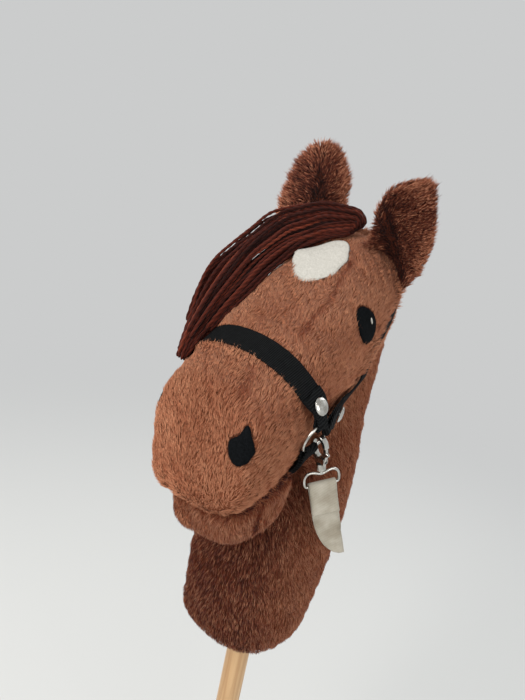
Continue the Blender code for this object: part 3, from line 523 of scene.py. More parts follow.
def nearAhead(tree, roots, comb, reach):  # 1 where the cover begins just ahead of the root, as combed
    share = np.zeros(len(roots))
    for i in range(len(roots)):
        spot, _, _, distance = tree.find_nearest(Vector(roots[i]), reach)
        if spot is None:
            continue
        way = np.array(spot) - roots[i]
        along = way @ comb[i] / max(np.linalg.norm(way), 1e-6)
        share[i] = max(along, 0.0) * (1.0 - distance / reach)
    return np.clip(share * cover["steep"], 0.0, 1.0)


# Plush skin

backing = {
    "colours": (rgb(112, 64, 44), rgb(146, 90, 64)),
    "neckDim": (0.28, 0.24, 0.25, 1.0),  # painted shade: the backing's share of light where the neck is darkest
    "voxel": 0.0022,
    "inset": 0.0024,  # the backing lies this far inside the solid, under the pile
    # where the filling stands fuller than the plain solid: place, spread, push
    "fuller": (((-0.031, 0.004, 0.783), 0.020, 4.0 * mm),
               ((-0.034, -0.025, 0.764), 0.030, 7.0 * mm),
               ((-0.041, -0.062, 0.735), 0.024, 5.0 * mm),
               ((-0.034, -0.128, 0.609), 0.016, 4.5 * mm),
               ((-0.022, -0.105, 0.566), 0.014, 4.0 * mm),
               ((-0.038, -0.032, 0.430), 0.021, 8.5 * mm),
               ((0.040, 0.012, 0.432), 0.020, 4.0 * mm)),
    "mouth": (0.0045, 0.0115),  # the crease between nose and jaw, by the distances to both
    "mouthDepth": 4.0 * mm,
    # the line between head and neck: forward, upward and the height where it starts
    "neckLine": (0.9, 0.75, 0.64),
    "neckBlend": (-0.015, 0.02),
}
# painted shade on the neck: most in front, least behind and round the left side
neckShade = {"front": (-0.050, 0.030), "left": (0.030, 0.062), "blend": (-0.020, 0.022),
             "later": 0.03, "behind": 0.42, "inFront": 0.58}


def skinMaterial(name, colours, grain=900.0, dimBy=None):
    material, tree, shader = newMaterial(name, roughness=0.95, specular=0.05)
    place = objectPlace(tree)
    fine = noise(tree, place, scale=grain, detail=2.0)
    both = maths(tree, "ADD", noise(tree, place, scale=45.0, detail=3.0), fine)
    low, high = colours
    tint = ramp(tree, maths(tree, "MULTIPLY", both, 0.5), ((0.35, low), (0.65, high)))
    # painted shade: the backing is dimmed where the neck is shaded
    if dimBy:
        share = newNode(tree, "Attribute", {"attribute_name": dimBy}).outputs["Fac"]
        tint = multiplied(tree, tint, ramp(tree, share, ((0.0, grey(1.0)), (1.0, backing["neckDim"]))))
    paint(tree, shader, tint)
    addBump(tree, shader, fine, strength=0.8, distance=0.0008)
    return material


def pastNeck(spots):  # how far a spot lies to the head's side of the line, in metres
    forward, upward, height = backing["neckLine"]
    return -spots[:, 1] * forward + (spots[:, 2] - height) * upward


def onHead(spots):  # 1 on the head, 0 down the neck
    return smoothShare(pastNeck(spots), *backing["neckBlend"])


def neckPaintedShade(spots):  # painted shade on the neck: 0 as light as the face, 1 where the neck is darkest, in front
    front = smoothShare(-spots[:, 1], *neckShade["front"])
    front = front * (1.0 - smoothShare(spots[:, 0], *neckShade["left"]))
    later = neckShade["later"] * (1.0 - front)
    low, high = neckShade["blend"]
    away = 1.0 - smoothShare(pastNeck(spots) + later, low, high + later)
    return away * (neckShade["behind"] + neckShade["inFront"] * front)


headTree, jawTree = treeOf("head"), treeOf("lower_jaw")


def shapeSkin(mesh):  # fuller and tighter places of the stuffing
    spots = spotsOf(mesh)
    push = np.zeros(len(spots))
    for place, spread, most in backing["fuller"]:
        push += most * bell(farFromPoint(spots, place), spread)
    gap = farFrom(headTree, spots) + farFrom(jawTree, spots)
    push -= backing["mouthDepth"] * (1.0 - smoothShare(gap, *backing["mouth"]))
    setSpots(mesh, spots + normalsOf(mesh) * push[:, None])


def buildSkin():
    bm = nodeCopy("head", "neck", "lower_jaw")
    look = skinMaterial("pileBacking", backing["colours"], dimBy="tone")
    skin = addPiece("plushSkin", bm, look, "head", ("head", "neck", "lower_jaw"))
    withModifiers(skin, ("REMESH", {"mode": "VOXEL", "voxel_size": backing["voxel"]}), smoothed(3),
                  drawnIn(backing["inset"]), smoothed(1))
    shapeSkin(skin.data)
    withModifiers(skin, smoothed(1))
    # the neck's painted shade, kept on the skin for the backing
    tone = skin.data.attributes.new("tone", "FLOAT", "POINT")
    tone.data.foreach_set("value", neckPaintedShade(spotsOf(skin.data)).astype(np.float32))
    return skin


plushSkin = buildSkin()
print("skin", len(plushSkin.data.polygons), "faces")

# The skin's fur

pile = {
    "look": {"stops": ((0.0, rgb(58, 17, 8)), (0.33, rgb(125, 56, 32)),
                       (0.68, rgb(178, 116, 85)), (1.0, rgb(203, 145, 110))),
             # the roots' painted shade, then roughness, specular and sheen
             "rootShade": 0.52, "roughness": 0.80, "specular": 0.08, "sheen": 0.04},
    "tufts": 206000,
    "seed": 11,
    "denser": (0.25, 0.50, 0.60),  # more by this share, from the first height to the second
    "jawSeam": (-0.001, 0.001),
    # the crease of the mouth, where the pile is shorter and takes painted shade
    "mouth": (0.0050, 0.0125),
    # ways of the comb: on the face, below it, and where these two meet
    "faceWay": (0.0, 0.45, 1.0),
    "downWay": (0.0, 0.15, -1.0),
    "betweenWay": (0.0, 2.4, 0.0),
    "outward": (0.06, 0.30),  # half the face's width, and how much the comb leads away from its middle
    "wander": ((0.028, 5, 0.22), (0.008, 6, 0.16)),
    "stray": 0.10,
    # before the headpiece, up the cheek: reach, height where it starts, and the comb's way
    "overStrap": (0.014, 0.702, (0.0, 1.3, 0.0)),
    "strapEdge": 0.0085,
    "patchEdge": (0.0050, 0.6),  # reach and share
    # where the pile parts it is darkened with painted shade: brow fold, nose, jaw seam, with depth and
    # spread
    "partings": ((0.42, 3.0 * mm, ((0.020, 0.014, 0.798), (0.030, -0.026, 0.768),
                                   (0.032, -0.065, 0.741))),
                 (0.34, 5.0 * mm, ((0.024, -0.109, 0.715), (0.028, -0.123, 0.700))),
                 (0.60, 2.8 * mm, ((0.055, -0.104, 0.634), (0.045, -0.090, 0.603),
                                   (0.039, -0.085, 0.571)))),
    # painted shade on the cheek: its middle and spread
    "cheek": ((0.058, -0.045, 0.690), 0.035),
    # paler and darker bands round the neck's front: amount, height, spread, and the share of the
    # neck's painted shade they need
    "bands": ((0.05, 0.465, 0.016), (-0.07, 0.506, 0.011)),
    "bandTone": 0.8,
    "broad": (0.050, 9),  # size and seed of the slow, middling and quick changes
    "small": (0.012, 10),
    "quick": (0.0032, 15),
    # from here on "plain" is the value where nothing is near, and the rest adds to it (mm)
    "length": {"plain": 7.8, "small": 0.7, "edge": 2.4, "over": 4.8, "mouth": -3.0,
               "vary": (0.80, 1.15), "parted": -0.6},
    # under straps and mane: share of the length, that share up the cheek, and where this starts
    "pressed": {"length": 0.55, "highLength": 0.30, "high": 0.695, "rise": 0.12},
    "width": {"vary": (0.25, 0.43), "neck": -0.30},
    # painted shade darkens the neck, the jaw, the cheek and the crease of the mouth; broad is a random
    # tone
    "shade": {"plain": 0.72, "tone": -0.41, "jaw": -0.12, "cheek": -0.08, "broad": 0.05,
              "mouth": -0.70},
    "smallShade": {"plain": 0.03, "jaw": 0.04},
    "quickShade": {"plain": 0.035, "tone": 0.105, "jaw": 0.02},
    "strayShade": {"plain": 0.08, "tone": 0.17, "jaw": 0.05},
    "rise": {"plain": 0.40, "small": 0.05, "stray": 0.05, "limits": (0.25, 0.6),
             "neck": 0.06, "edge": 0.42, "over": 0.27},
    # how much painted shade darkens the roots: more on the neck, the jaw, in the mouth's crease and in
    # the partings
    "depth": {"plain": 0.30, "tone": 0.70, "jaw": 0.25, "mouth": 0.3, "part": 0.4},
}


def nearLine(spots, line):  # distance from each spot to a line of points
    best = np.full(len(spots), 9.0)
    for a, b in zip(np.array(line[:-1]), np.array(line[1:])):
        share = np.clip((spots - a) @ (b - a) / ((b - a) @ (b - a)), 0.0, 1.0)
        best = np.minimum(best, np.linalg.norm(spots - a - share[:, None] * (b - a), axis=1))
    return best


def blend(amounts, **shares):  # the plain value, and each share times its amount, in turn
    total = amounts["plain"]
    for key, share in shares.items():
        total = total + amounts[key] * share
    return total


def combPile(roots, facing, face, over, rng):
    # the nose and face are combed up and outwards, the jaw and neck down
    part = face[:, None]
    comb = part * np.array(pile["faceWay"]) + (1.0 - part) * np.array(pile["downWay"])
    comb = comb + part * (1.0 - part) * np.array(pile["betweenWay"])
    halfFace, most = pile["outward"]
    comb[:, 0] += face * roots[:, 0] / halfFace * most
    # up the cheek the pile before the headpiece is combed back over its edge
    comb = comb + over[:, None] * np.array(pile["overStrap"][2])
    comb = addDrift(comb, roots, pile["wander"])
    return alongSurface(comb + rng.normal(size=comb.shape) * pile["stray"], facing)


def growFur():
    extra, low, high = pile["denser"]
    roots, facing, rng = scatter(plushSkin.data, pile["tufts"], pile["seed"],
                                 lambda c: 1.0 + extra * smoothShare(c[:, 2], low, high))
    keep = ~underCover(patchTree, roots, facing)
    roots, facing = roots[keep], facing[keep]
    some = len(roots)
    height = roots[:, 2]
    head = onHead(roots)
    toHead, toJaw = farFrom(headTree, roots), farFrom(jawTree, roots)
    jaw = smoothShare(toHead - toJaw, *pile["jawSeam"]) * head
    mouth = 1.0 - smoothShare(toHead + toJaw, *pile["mouth"])
    neck = 1.0 - np.maximum(head, jaw)
    # painted shade on the neck
    tone = neckPaintedShade(roots) * neck
    reach, start, _ = pile["overStrap"]
    backward = np.tile([0.0, 1.0, 0.0], (some, 1))
    over = nearAhead(headpieceTree, roots, backward, reach) * (height > start)
    comb = combPile(roots, facing, head * (1.0 - jaw), over, rng)
    broad, small, quick = (drift(roots, 1, *pile[key])[:, 0] for key in ("broad", "small", "quick"))
    pressed = underCover(strapTree, roots, facing) | underCover(maneTree, roots, facing)
    reach, most = pile["patchEdge"]
    edge = nearAhead(strapTree, roots, comb, pile["strapEdge"])
    edge = np.maximum(edge, nearAhead(patchTree, roots, comb, reach) * most) * ~pressed
    part = np.zeros(some)
    for amount, spread, line in pile["partings"]:
        part = np.maximum(part, amount * bell(nearLine(roots, line), spread))
    length = blend(pile["length"], small=small, edge=edge, over=over, mouth=mouth) * mm
    length = length * rng.uniform(*pile["length"]["vary"], some)
    length = length * (1.0 + pile["length"]["parted"] * part)
    flat = pile["pressed"]
    length[pressed] *= np.where(height[pressed] > flat["high"], flat["highLength"], flat["length"])
    width = rng.uniform(*pile["width"]["vary"], some) * (1.0 + pile["width"]["neck"] * neck) * mm
    place, spread = pile["cheek"]
    cheek = bell(farFromPoint(roots, place), spread)
    bands = 0.0
    for amount, middle, spread in pile["bands"]:
        bands = bands + amount * bell(height - middle, spread)
    # painted shade on the neck, the jaw and the cheek, with a random tone
    tint = blend(pile["shade"], tone=tone, jaw=jaw, cheek=cheek, broad=broad)
    tint = tint + blend(pile["smallShade"], jaw=jaw) * small
    tint = tint + bands * tone * (tone > pile["bandTone"])
    tint = tint + blend(pile["quickShade"], tone=tone, jaw=jaw) * quick
    tint = tint + rng.normal(size=some) * blend(pile["strayShade"], tone=tone, jaw=jaw)
    # painted shade in the partings and in the crease of the mouth
    tint = tint - part + pile["shade"]["mouth"] * mouth
    stand = pile["rise"]
    rise = blend(stand, small=small) + rng.normal(size=some) * stand["stray"]
    rise = np.clip(rise, *stand["limits"])
    rise = rise + stand["neck"] * neck + stand["edge"] * edge + stand["over"] * over
    rise[pressed] = flat["rise"]
    # painted shade at the roots
    depth = blend(pile["depth"], tone=tone, jaw=jaw, mouth=mouth, part=part)
    plantTufts("furPile", roots, facing, comb, length, width, tint, rise, np.clip(depth, 0, 1),
               furMaterial("combedPile", pile["look"]))
    print("fur of", some, "tufts ready")


growFur()

# Ears

ears = {
    # fold: where the crease lies across the ear at its foot, and how it leans going up
    "left": {"root": (0.0343, 0.056, 0.797), "rise": (0.33, -0.44, 0.83), "seed": 25,
             "outward": (0.85, 0.45, -0.25), "fold": (0.39, -1.85), "foldTop": 0.55},
    "right": {"root": (-0.043, 0.048, 0.806), "rise": (-0.09, -0.12, 0.99), "seed": 26,
              "outward": (-0.93, -0.36, 0.0), "fold": (-0.10, 0.0), "foldTop": 0.35},
    "colours": (rgb(66, 30, 21), rgb(92, 48, 34)),
    "look": {"stops": ((0.0, rgb(34, 12, 8)), (0.35, rgb(84, 38, 26)),
                       (0.7, rgb(136, 76, 54)), (1.0, rgb(196, 132, 100))),
             # the roots' painted shade, then roughness, specular and sheen
             "rootShade": 0.20, "roughness": 0.78, "specular": 0.10, "sheen": 0.04},
    "halfWidth": 0.0285,
    "height": 0.090,
    "inset": 0.0012,
    "tufts": 16000,
    "upComb": (0.45, 0.5),  # at the foot, and more by this up to the tip
    "sideComb": (2.6, -1.0, 1.3),  # away from the fold, with its limits
    "wander": ((0.012, 7, 0.22),),
    "stray": 0.10,
    "innerFrom": 0.15,
    "foldWidth": 0.15,
    "foldFade": 0.3,
    "hollowWidth": 0.38,
    "hollowTop": (0.5, 1.0),
    "sideEdge": (0.55, 0.92),
    "topEdge": (0.74, 0.98),
    "quick": ((0.007, 12, 0.5), (0.018, 13, 0.5), (0.0036, 14, 0.9)),
    "length": {"plain": 10.5, "fold": -6.5, "vary": (0.70, 1.2)},  # mm, as the width
    "width": (0.28, 0.50),
    # painted highlight along the rims (edge), painted shade in the hollow and the fold
    "shade": {"plain": 0.50, "quick": 0.10, "edge": 0.30, "outer": 0.04, "hollow": -0.20,
              "fold": -0.60, "stray": 0.22},
    "rise": {"plain": 0.46, "quick": 0.10, "stray": 0.08, "limits": (0.2, 0.8), "fold": -0.6},
}
earLook = furMaterial("earPile", ears["look"])
earSkinLook = skinMaterial("earBacking", ears["colours"])


def growEar(side):
    facts = ears[side]
    bm = nodeCopy("ear_" + side)
    shell = addPiece("earShell" + side.capitalize(), bm, earSkinLook, "head",
                     ("ear_" + side,))
    withModifiers(shell, rounded(2), drawnIn(ears["inset"]))
    roots, facing, rng = scatter(shell.data, ears["tufts"], facts["seed"])
    some = len(roots)
    upward = unit(np.array(facts["rise"]))
    outward = np.array(facts["outward"])
    outward = unit(outward - upward * (outward @ upward))
    front = np.cross(outward, upward)
    front = -front if front[1] > 0 else front
    offset = roots - np.array(facts["root"])
    across = offset @ outward / ears["halfWidth"]
    up = offset @ upward / ears["height"]
    foot, slant = facts["fold"]
    lean = slant * ears["halfWidth"] / ears["height"]
    fromFold = (across - foot - slant * up) / math.hypot(1.0, lean)
    alongFold = unit(upward + outward * lean)
    fromWay = unit(outward - upward * lean)
    least, more = ears["upComb"]
    comb = alongFold[None] * (least + more * np.clip(up, 0, 1))[:, None]
    most, low, high = ears["sideComb"]
    comb = comb + fromWay[None] * np.clip(most * fromFold, low, high)[:, None]
    comb = addDrift(comb, roots, ears["wander"]) + rng.normal(size=comb.shape) * ears["stray"]
    inner = (facing @ front) > ears["innerFrom"]
    fold = bell(fromFold, ears["foldWidth"]) * inner
    fold = fold * (1.0 - smoothShare(up, facts["foldTop"], facts["foldTop"] + ears["foldFade"]))
    hollow = bell(fromFold, ears["hollowWidth"]) * inner
    hollow = hollow * (1.0 - smoothShare(up, *ears["hollowTop"]))
    edge = smoothShare(np.abs(across), *ears["sideEdge"]) + smoothShare(up, *ears["topEdge"])
    length = blend(ears["length"], fold=fold) * mm * rng.uniform(*ears["length"]["vary"], some)
    width = rng.uniform(*ears["width"], some) * mm
    quick = addDrift(np.zeros((some, 1)), roots, ears["quick"])[:, 0]
    # painted highlight on the rims, painted shade in the hollow and the fold
    tint = blend(ears["shade"], quick=quick, edge=np.clip(edge, 0, 1), outer=~inner,
                 hollow=hollow, fold=fold) + rng.normal(size=some) * ears["shade"]["stray"]
    stand = ears["rise"]
    rise = blend(stand, quick=quick) + rng.normal(size=some) * stand["stray"]
    rise = np.clip(rise, *stand["limits"]) * (1.0 + stand["fold"] * fold)
    plantTufts("earFur" + side.capitalize(), roots, facing, comb, length, width, tint, rise, 1.0,
               earLook)


for side in ("left", "right"):
    growEar(side)
print("ears ready")

# Felt patches

felt = {
    "white": {"low": rgb(172, 168, 158), "high": rgb(197, 193, 184),
              "nap": {"stops": ((0.0, rgb(170, 166, 156)), (1.0, rgb(204, 200, 191))),
                      # the roots' painted shade, then roughness, specular and sheen
                      "rootShade": 0.80, "roughness": 0.90, "specular": 0.05, "sheen": 0.0}},
    "black": {"low": rgb(7, 8, 9), "high": rgb(19, 21, 23),
              "nap": {"stops": ((0.0, rgb(6, 7, 8)), (1.0, rgb(26, 28, 30))),
                      # the roots' painted shade, then roughness, specular and sheen
                      "rootShade": 0.70, "roughness": 0.90, "specular": 0.05, "sheen": 0.0}},
    "crisp": 60,
    "float": 1.0 * mm,
    "lower": {"nostril_right": 0.2},  # this share of the float
    "search": (0.02, 0.03),  # the stuffing is looked for from this far out, and this deep
    # the star's corner that is drawn out: place, way, spread and how far
    "corner": ((-0.0255, 0.0080, 0.7945), (-0.84, -0.52, 0.14), 0.013, 7.0 * mm),
}
# short fibres that lie outwards and ravel a patch's cut edge (mm)
nap = {"perArea": 1.3 / mm**2, "seed": 61, "outerFrom": 0.2, "stray": 0.6, "length": (1.8, 3.4),
       "width": (0.14, 0.24), "shade": (0.1, 0.9), "rise": (0.08, 0.30), "depth": 0.6}


def feltMaterial(name, colours):
    material, tree, shader = newMaterial(name, roughness=0.92, specular=0.05)
    fibres = noise(tree, objectPlace(tree), scale=700.0, detail=4.0, distortion=1.5)
    tint = ramp(tree, fibres, ((0.35, colours["low"]), (0.68, colours["high"])))
    paint(tree, shader, tint)
    addBump(tree, shader, fibres, strength=0.5, distance=0.0004)
    return material


def headNormals(spots):  # which way the head's surface faces under each spot
    return np.array([headTree.find_nearest(Vector(p))[1] for p in spots])


shapedTree = BVHTree.FromPolygons([v.co for v in plushSkin.data.vertices],
                                  [tuple(f.vertices) for f in plushSkin.data.polygons])


def layOnPile(mesh, height):  # the patch keeps its shape, and follows the stuffing's swell
    spots = spotsOf(mesh)
    out, deep = felt["search"]
    for i, spot in enumerate(spots):
        foot, facing, _, _ = headTree.find_nearest(Vector(spot))
        hit = shapedTree.ray_cast(foot + facing * out, -facing, deep)
        if hit[0] is not None:
            above = (Vector(spot) - foot) @ facing
            spots[i] = hit[0] + facing * (above + height)
    setSpots(mesh, spots)


def drawCorner(mesh, corner, way, spread, most):  # draws out one corner of a patch
    spots = spotsOf(mesh)
    share = bell(farFromPoint(spots, corner), spread)
    setSpots(mesh, spots + np.array(way) * (most * share)[:, None])


def growNap(patch, material):
    area = doubleAreas(spotsOf(patch.data), trianglesOf(patch.data)).sum() / 2.0
    roots, facing, rng = scatter(patch.data, int(area * nap["perArea"]), nap["seed"])
    outer = (facing * headNormals(roots)).sum(1) > nap["outerFrom"]
    roots, facing = roots[outer], facing[outer]
    some = len(roots)
    comb = unit(roots - roots.mean(0)) + rng.normal(size=(some, 3)) * nap["stray"]
    length = rng.uniform(*nap["length"], some) * mm
    width = rng.uniform(*nap["width"], some) * mm
    tint = rng.uniform(*nap["shade"], some)
    rise = rng.uniform(*nap["rise"], some)
    plantTufts(patch.name + "Nap", roots, facing, comb, length, width, tint, rise, nap["depth"],
               material)


feltLooks = {colour: (feltMaterial(colour + "Felt", felt[colour]),
                      furMaterial(colour + "Nap", felt[colour]["nap"]))
             for colour in ("white", "black")}
for name in ("star", "eye_left", "eye_right", "eye_glint_left", "eye_glint_right",
             "nostril_left", "nostril_right"):
    colour = "white" if name == "star" or "glint" in name else "black"
    clothLook, napLook = feltLooks[colour]
    patch = copyPiece(name, felt["crisp"], nameOf(name) + "Felt", clothLook, "head")
    withModifiers(patch, rounded(1))
    if name == "star":
        drawCorner(patch.data, *felt["corner"])
    layOnPile(patch.data, felt["float"] * felt["lower"].get(name, 1.0))
    if "glint" not in name:
        growNap(patch, napLook)
print("patches ready")

# Yarn

yarn = {
    "stops": ((0.0, rgb(34, 12, 8)), (0.5, rgb(80, 31, 20)), (1.0, rgb(126, 58, 39))),
    # painted shade in the groove between the two plies
    "groove": 0.42,
    "radius": 1.4 * mm,
    "vary": (0.88, 1.10),
    "twist": 7.8 * mm,
    "stepsPerTurn": 5,
    "sides": 6,
    "lobe": 0.17,
    "end": 0.35,
    "shade": (0.47, 0.26),  # middle and spread
    "aside": (0.31, 0.9, 0.3),  # a way that no strand runs along
    "fine": 12,  # points between two given ones
    "spread": 0.618,  # steps of this share of the whole place the strands evenly
}


def yarnMaterial():
    material, tree, shader = newMaterial("woolYarn", roughness=0.85, specular=0.08, sheen=0.05)
    across, up = mapValues(tree, "OFBake")
    groove = ramp(tree, up, ((0.0, grey(yarn["groove"])), (1.0, grey(1.0))))
    tint = multiplied(tree, ramp(tree, across, yarn["stops"]), groove)
    paint(tree, shader, tint)
    return material


yarnLook = yarnMaterial()


def evenLine(points, step):  # points at an even pace along a smooth line through the given ones
    points = np.asarray(points, float)
    pieces = []
    f = np.linspace(0, 1, yarn["fine"], endpoint=False)[:, None]
    for i in range(len(points) - 1):
        a, b = points[max(i - 1, 0)], points[i]
        c, d = points[i + 1], points[min(i + 2, len(points) - 1)]
        pieces.append((2 * b + (c - a) * f + (2 * a - 5 * b + 4 * c - d) * f**2
                       + (3 * b - a - 3 * c + d) * f**3) / 2)
    line = np.concatenate(pieces + [points[-1:]])
    far = np.concatenate([[0], np.cumsum(np.linalg.norm(np.diff(line, axis=0), axis=1))])
    count = max(4, int(far[-1] / step))
    want = np.linspace(0, far[-1], count + 1)
    return np.stack([np.interp(want, far, line[:, k]) for k in range(3)], 1)


def tubeFaces(count, sides):  # two triangles for each place on the tube, and a fan at each end
    i, j = np.meshgrid(np.arange(count - 1), np.arange(sides), indexing="ij")
    k = (j + 1) % sides
    a, b = i * sides + j, i * sides + k
    c, d = (i + 1) * sides + k, (i + 1) * sides + j
    j = np.arange(sides)
    k = (j + 1) % sides
    last = (count - 1) * sides
    foot, tip = count * sides, count * sides + 1
    return np.concatenate([np.stack([a, b, c], -1).reshape(-1, 3),
                           np.stack([a, c, d], -1).reshape(-1, 3),
                           np.stack([k, j, np.full(sides, foot)], 1),
                           np.stack([last + j, last + k, np.full(sides, tip)], 1)])


def spinStrand(points, rng):  # a two-lobed section that turns as it runs, as two plies do
    sides, perTurn, lobe = yarn["sides"], yarn["stepsPerTurn"], yarn["lobe"]
    line = evenLine(points, yarn["twist"] / perTurn)
    ahead = unit(np.gradient(line, axis=0))
    across = unit(np.cross(ahead, yarn["aside"]))
    other = np.cross(ahead, across)
    count = len(line)
    turn = (np.arange(count) * math.pi / perTurn + rng.uniform(0, anyTurn))[:, None]
    around = (np.arange(sides) * 2 * math.pi / sides)[None]
    lobes = 1.0 + lobe * np.cos(2 * (around - turn))
    radius = yarn["radius"] * rng.uniform(*yarn["vary"])
    taper = np.ones(count)
    taper[0] = taper[-1] = yarn["end"]
    reach = (radius * lobes * taper[:, None])[:, :, None]
    ring = line[:, None] + reach * (across[:, None] * np.cos(around)[..., None]
                                    + other[:, None] * np.sin(around)[..., None])
    spots = np.concatenate([ring.reshape(-1, 3), line[:1], line[-1:]])
    middle, spread = yarn["shade"]
    # up the map: 0 in the groove between the plies, 1 on their crests, which the painted shade follows
    height = (lobes - 1 + lobe) / (2 * lobe)
    uv = np.empty((len(spots), 2))
    uv[:, 0] = np.clip(middle + rng.normal() * spread, 0.03, 0.97)
    uv[:-2, 1] = 0.03 + 0.94 * height.ravel()
    uv[-2:, 1] = 0.5
    return spots, tubeFaces(count, sides), uv


def spinYarn(name, lines, seed, replaces):
    rng = np.random.default_rng(seed)
    allSpots, allFaces, allUvs = [], [], []
    base = 0
    for points in lines:
        spots, faces, uv = spinStrand(points, rng)
        allSpots.append(spots)
        allFaces.append(faces + base)
        allUvs.append(uv)
        base += len(spots)
    mesh = bigMesh(name, np.concatenate(allSpots), np.concatenate(allFaces),
                   np.concatenate(allUvs))
    bm = bmesh.new()
    bm.from_mesh(mesh)
    bmesh.ops.recalc_face_normals(bm, faces=bm.faces)
    bm.to_mesh(mesh)
    bm.free()
    addMesh(name, mesh, yarnLook, "head", replaces)


# Forelock

forelock = {
    "facing": np.array([0.54, -0.80, 0.26]),
    # share of the run, middle, half width, half thickness (mm)
    "rows": ((0.00, 3, 47, 828.5, 9.5, 6.5), (0.10, -2, 46, 833, 12, 8),
             (0.26, -26, 30, 829, 17.5, 8), (0.44, -49, 6, 813, 20, 8),
             (0.62, -54, -30, 787, 18.5, 8), (0.78, -52, -60, 760, 16, 8),
             (0.88, -51, -79, 740, 12, 7), (1.00, -55, -97, 708, 7, 4),
             (1.08, -50, -104, 696, 5, 3)),
    "strands": 104,
    "seeds": (31, 32),
    "points": 12,
    "fuller": 1.18,  # times as wide on the side towards the head
    "ahead": 0.05,  # share of the run over which its way is measured
    "across": (-0.84, 1.76),  # first place across the bundle, and how far the places go on
    "through": (-0.75, 0.9),
    "ends": (0.92, 1.07),  # share of the run where most strands end, and the short ones
    "shortEnds": (0.76, 0.92),
    "mostShare": 0.8,
    "wander": (0.09, 6.0),
    # strands gather in groups: how many, their sway, how much they close up, and along which shares
    "groups": 13,
    "sway": (0.06, 0.30),
    "close": 0.42,
    "gather": (0.12, 0.55),
    # loose strands: first place, step, wander, stray, and where they leave and come back
    "loose": 10,
    "looseAcross": (-0.56, -0.08),
    "looseWander": 0.16,
    "stray": -0.17,
    "leave": (0.57, 0.80),
    "return": (0.84, 1.04),
    "returned": 0.85,
    "slim": (0.8, 0.85),  # shares of the width at the root, and of the depth along the run
    # the yarn is doubled over at its root, so that each strand starts in a bight (mm out and ahead)
    "bight": ((-4.0, 6.0), (-2.6, -0.5)),
}


def forelockRow(share):  # middle, half width and half thickness at this share of the run
    rows = np.array(forelock["rows"], float)
    return np.array([np.interp(share, rows[:, 0], rows[:, k]) for k in range(1, 6)])


def forelockSpot(share, u, v):  # u across the bundle, v out of it, both -1 to 1
    row = forelockRow(share)
    step = forelock["ahead"]
    ahead = unit((forelockRow(share + step) - forelockRow(share - step))[:3])
    outward = unit(forelock["facing"] - ahead * (forelock["facing"] @ ahead))
    across = np.cross(outward, ahead) * (forelock["fuller"] if u > 0 else 1.0)
    return row[:3] + across * row[3] * u + outward * row[4] * v, outward, ahead


def looseStray(share, fan):  # how far across a loose strand has strayed from the bundle
    stray = forelock["stray"] * (1 + fan) * smoothShare(share, *forelock["leave"])
    return stray * (1.0 - forelock["returned"] * smoothShare(share, *forelock["return"]))


def buildForelock():
    facts = forelock
    rng = np.random.default_rng(facts["seeds"][0])
    lines = []
    total, groups = facts["strands"], facts["groups"]
    sway = rng.normal(size=(groups, 2)) * np.array(facts["sway"])
    for s in range(total):
        first, run = facts["across"]
        u = first + run * ((s * yarn["spread"]) % 1.0)
        v = rng.uniform(*facts["through"])
        most = rng.random() < facts["mostShare"]
        end = rng.uniform(*(facts["ends"] if most else facts["shortEnds"]))
        loose = s >= total - facts["loose"]
        amount, beat = facts["wander"]
        wander = rng.normal(size=2) * (facts["looseWander"] if loose else amount)
        if loose:
            first, step = facts["looseAcross"]
            u = first + step * (s % 4)
        group = min(int((u + 1.0) / 2.0 * groups), groups - 1)
        middle = (group + 0.5) / groups * 2.0 - 1.0
        slimRoot, slimRun = facts["slim"]
        root, outward, ahead = forelockSpot(0.0, u * slimRoot, v)
        points = [root + outward * out + ahead * on for out, on in facts["bight"]]
        for share in np.linspace(0.0, end, facts["points"]):
            wave = wander * math.sin(share * beat + s)
            gather = smoothShare(share, *facts["gather"])
            stray = looseStray(share, s % 4) if loose else 0.0
            spot, _, _ = forelockSpot(
                share,
                u + (middle - u) * facts["close"] * gather + sway[group, 0] * gather + wave[0] + stray,
                v * slimRun + sway[group, 1] * gather + wave[1])
            points.append(spot)
        lines.append(np.array(points) * mm)
    spinYarn("forelockYarn", lines, facts["seeds"][1], ("forelock",))


buildForelock()
print("forelock ready")

# Mane

mane = {
    "strands": 226,
    "seeds": (41, 42),
    "points": 12,
    "foot": 0.484,
    "top": 0.726,
    "angles": (84.0, 158.0),  # root and tip round the neck, the nose's way being -90
    "drop": (44.0 * mm, 1.25),  # how far the tips hang, and how the fall grows
    "thick": (9.5, 4.5),  # mm at the root, and less by this at the tip
    "clump": 23.0 * mm,
    "clumping": (0.5, 0.25, 1.0),  # how much, and along which shares, the strands close up
    "place": (0.1, 0.9),
    "length": (0.78, 1.08),
    "shorter": (0.45, 0.84, 1.0),  # shorter by this, between these shares of the crest
    "swing": 3.0,  # degrees
    "bob": 2.0,  # mm
    "beat": (3.0, 7.0),
    "start": -0.10,  # strands start this share of their run before the crest
    "rootOff": -1.5,  # mm off the skin: at the sewn root, and the lowest layer
    "leastOff": 1.0,
    "crestEnds": (0.06, 0.88),  # thinner at both ends of the crest
    "leastBody": 0.34,  # and at both ends of a strand, but never less than this
    "axis": 0.055,  # the neck's middle lies this far inside the crest
    "outside": 0.3,  # surely behind the crest
    "wide": 0.15,  # surely outside the neck
}


def neckSpot(angle, height, off):  # a point this far off the stuffed neck, in mm
    behind = Vector((0.0, mane["outside"], height))
    crest = shapedTree.ray_cast(behind, Vector((0.0, -1.0, 0.0)))[0]
    middle = Vector((0.0, crest.y - mane["axis"], height))
    way = Vector((math.cos(math.radians(angle)), math.sin(math.radians(angle)), 0.0))
    spot, facing, _, _ = shapedTree.ray_cast(middle + way * mane["wide"], -way)
    return np.array(spot + facing * (off * mm))


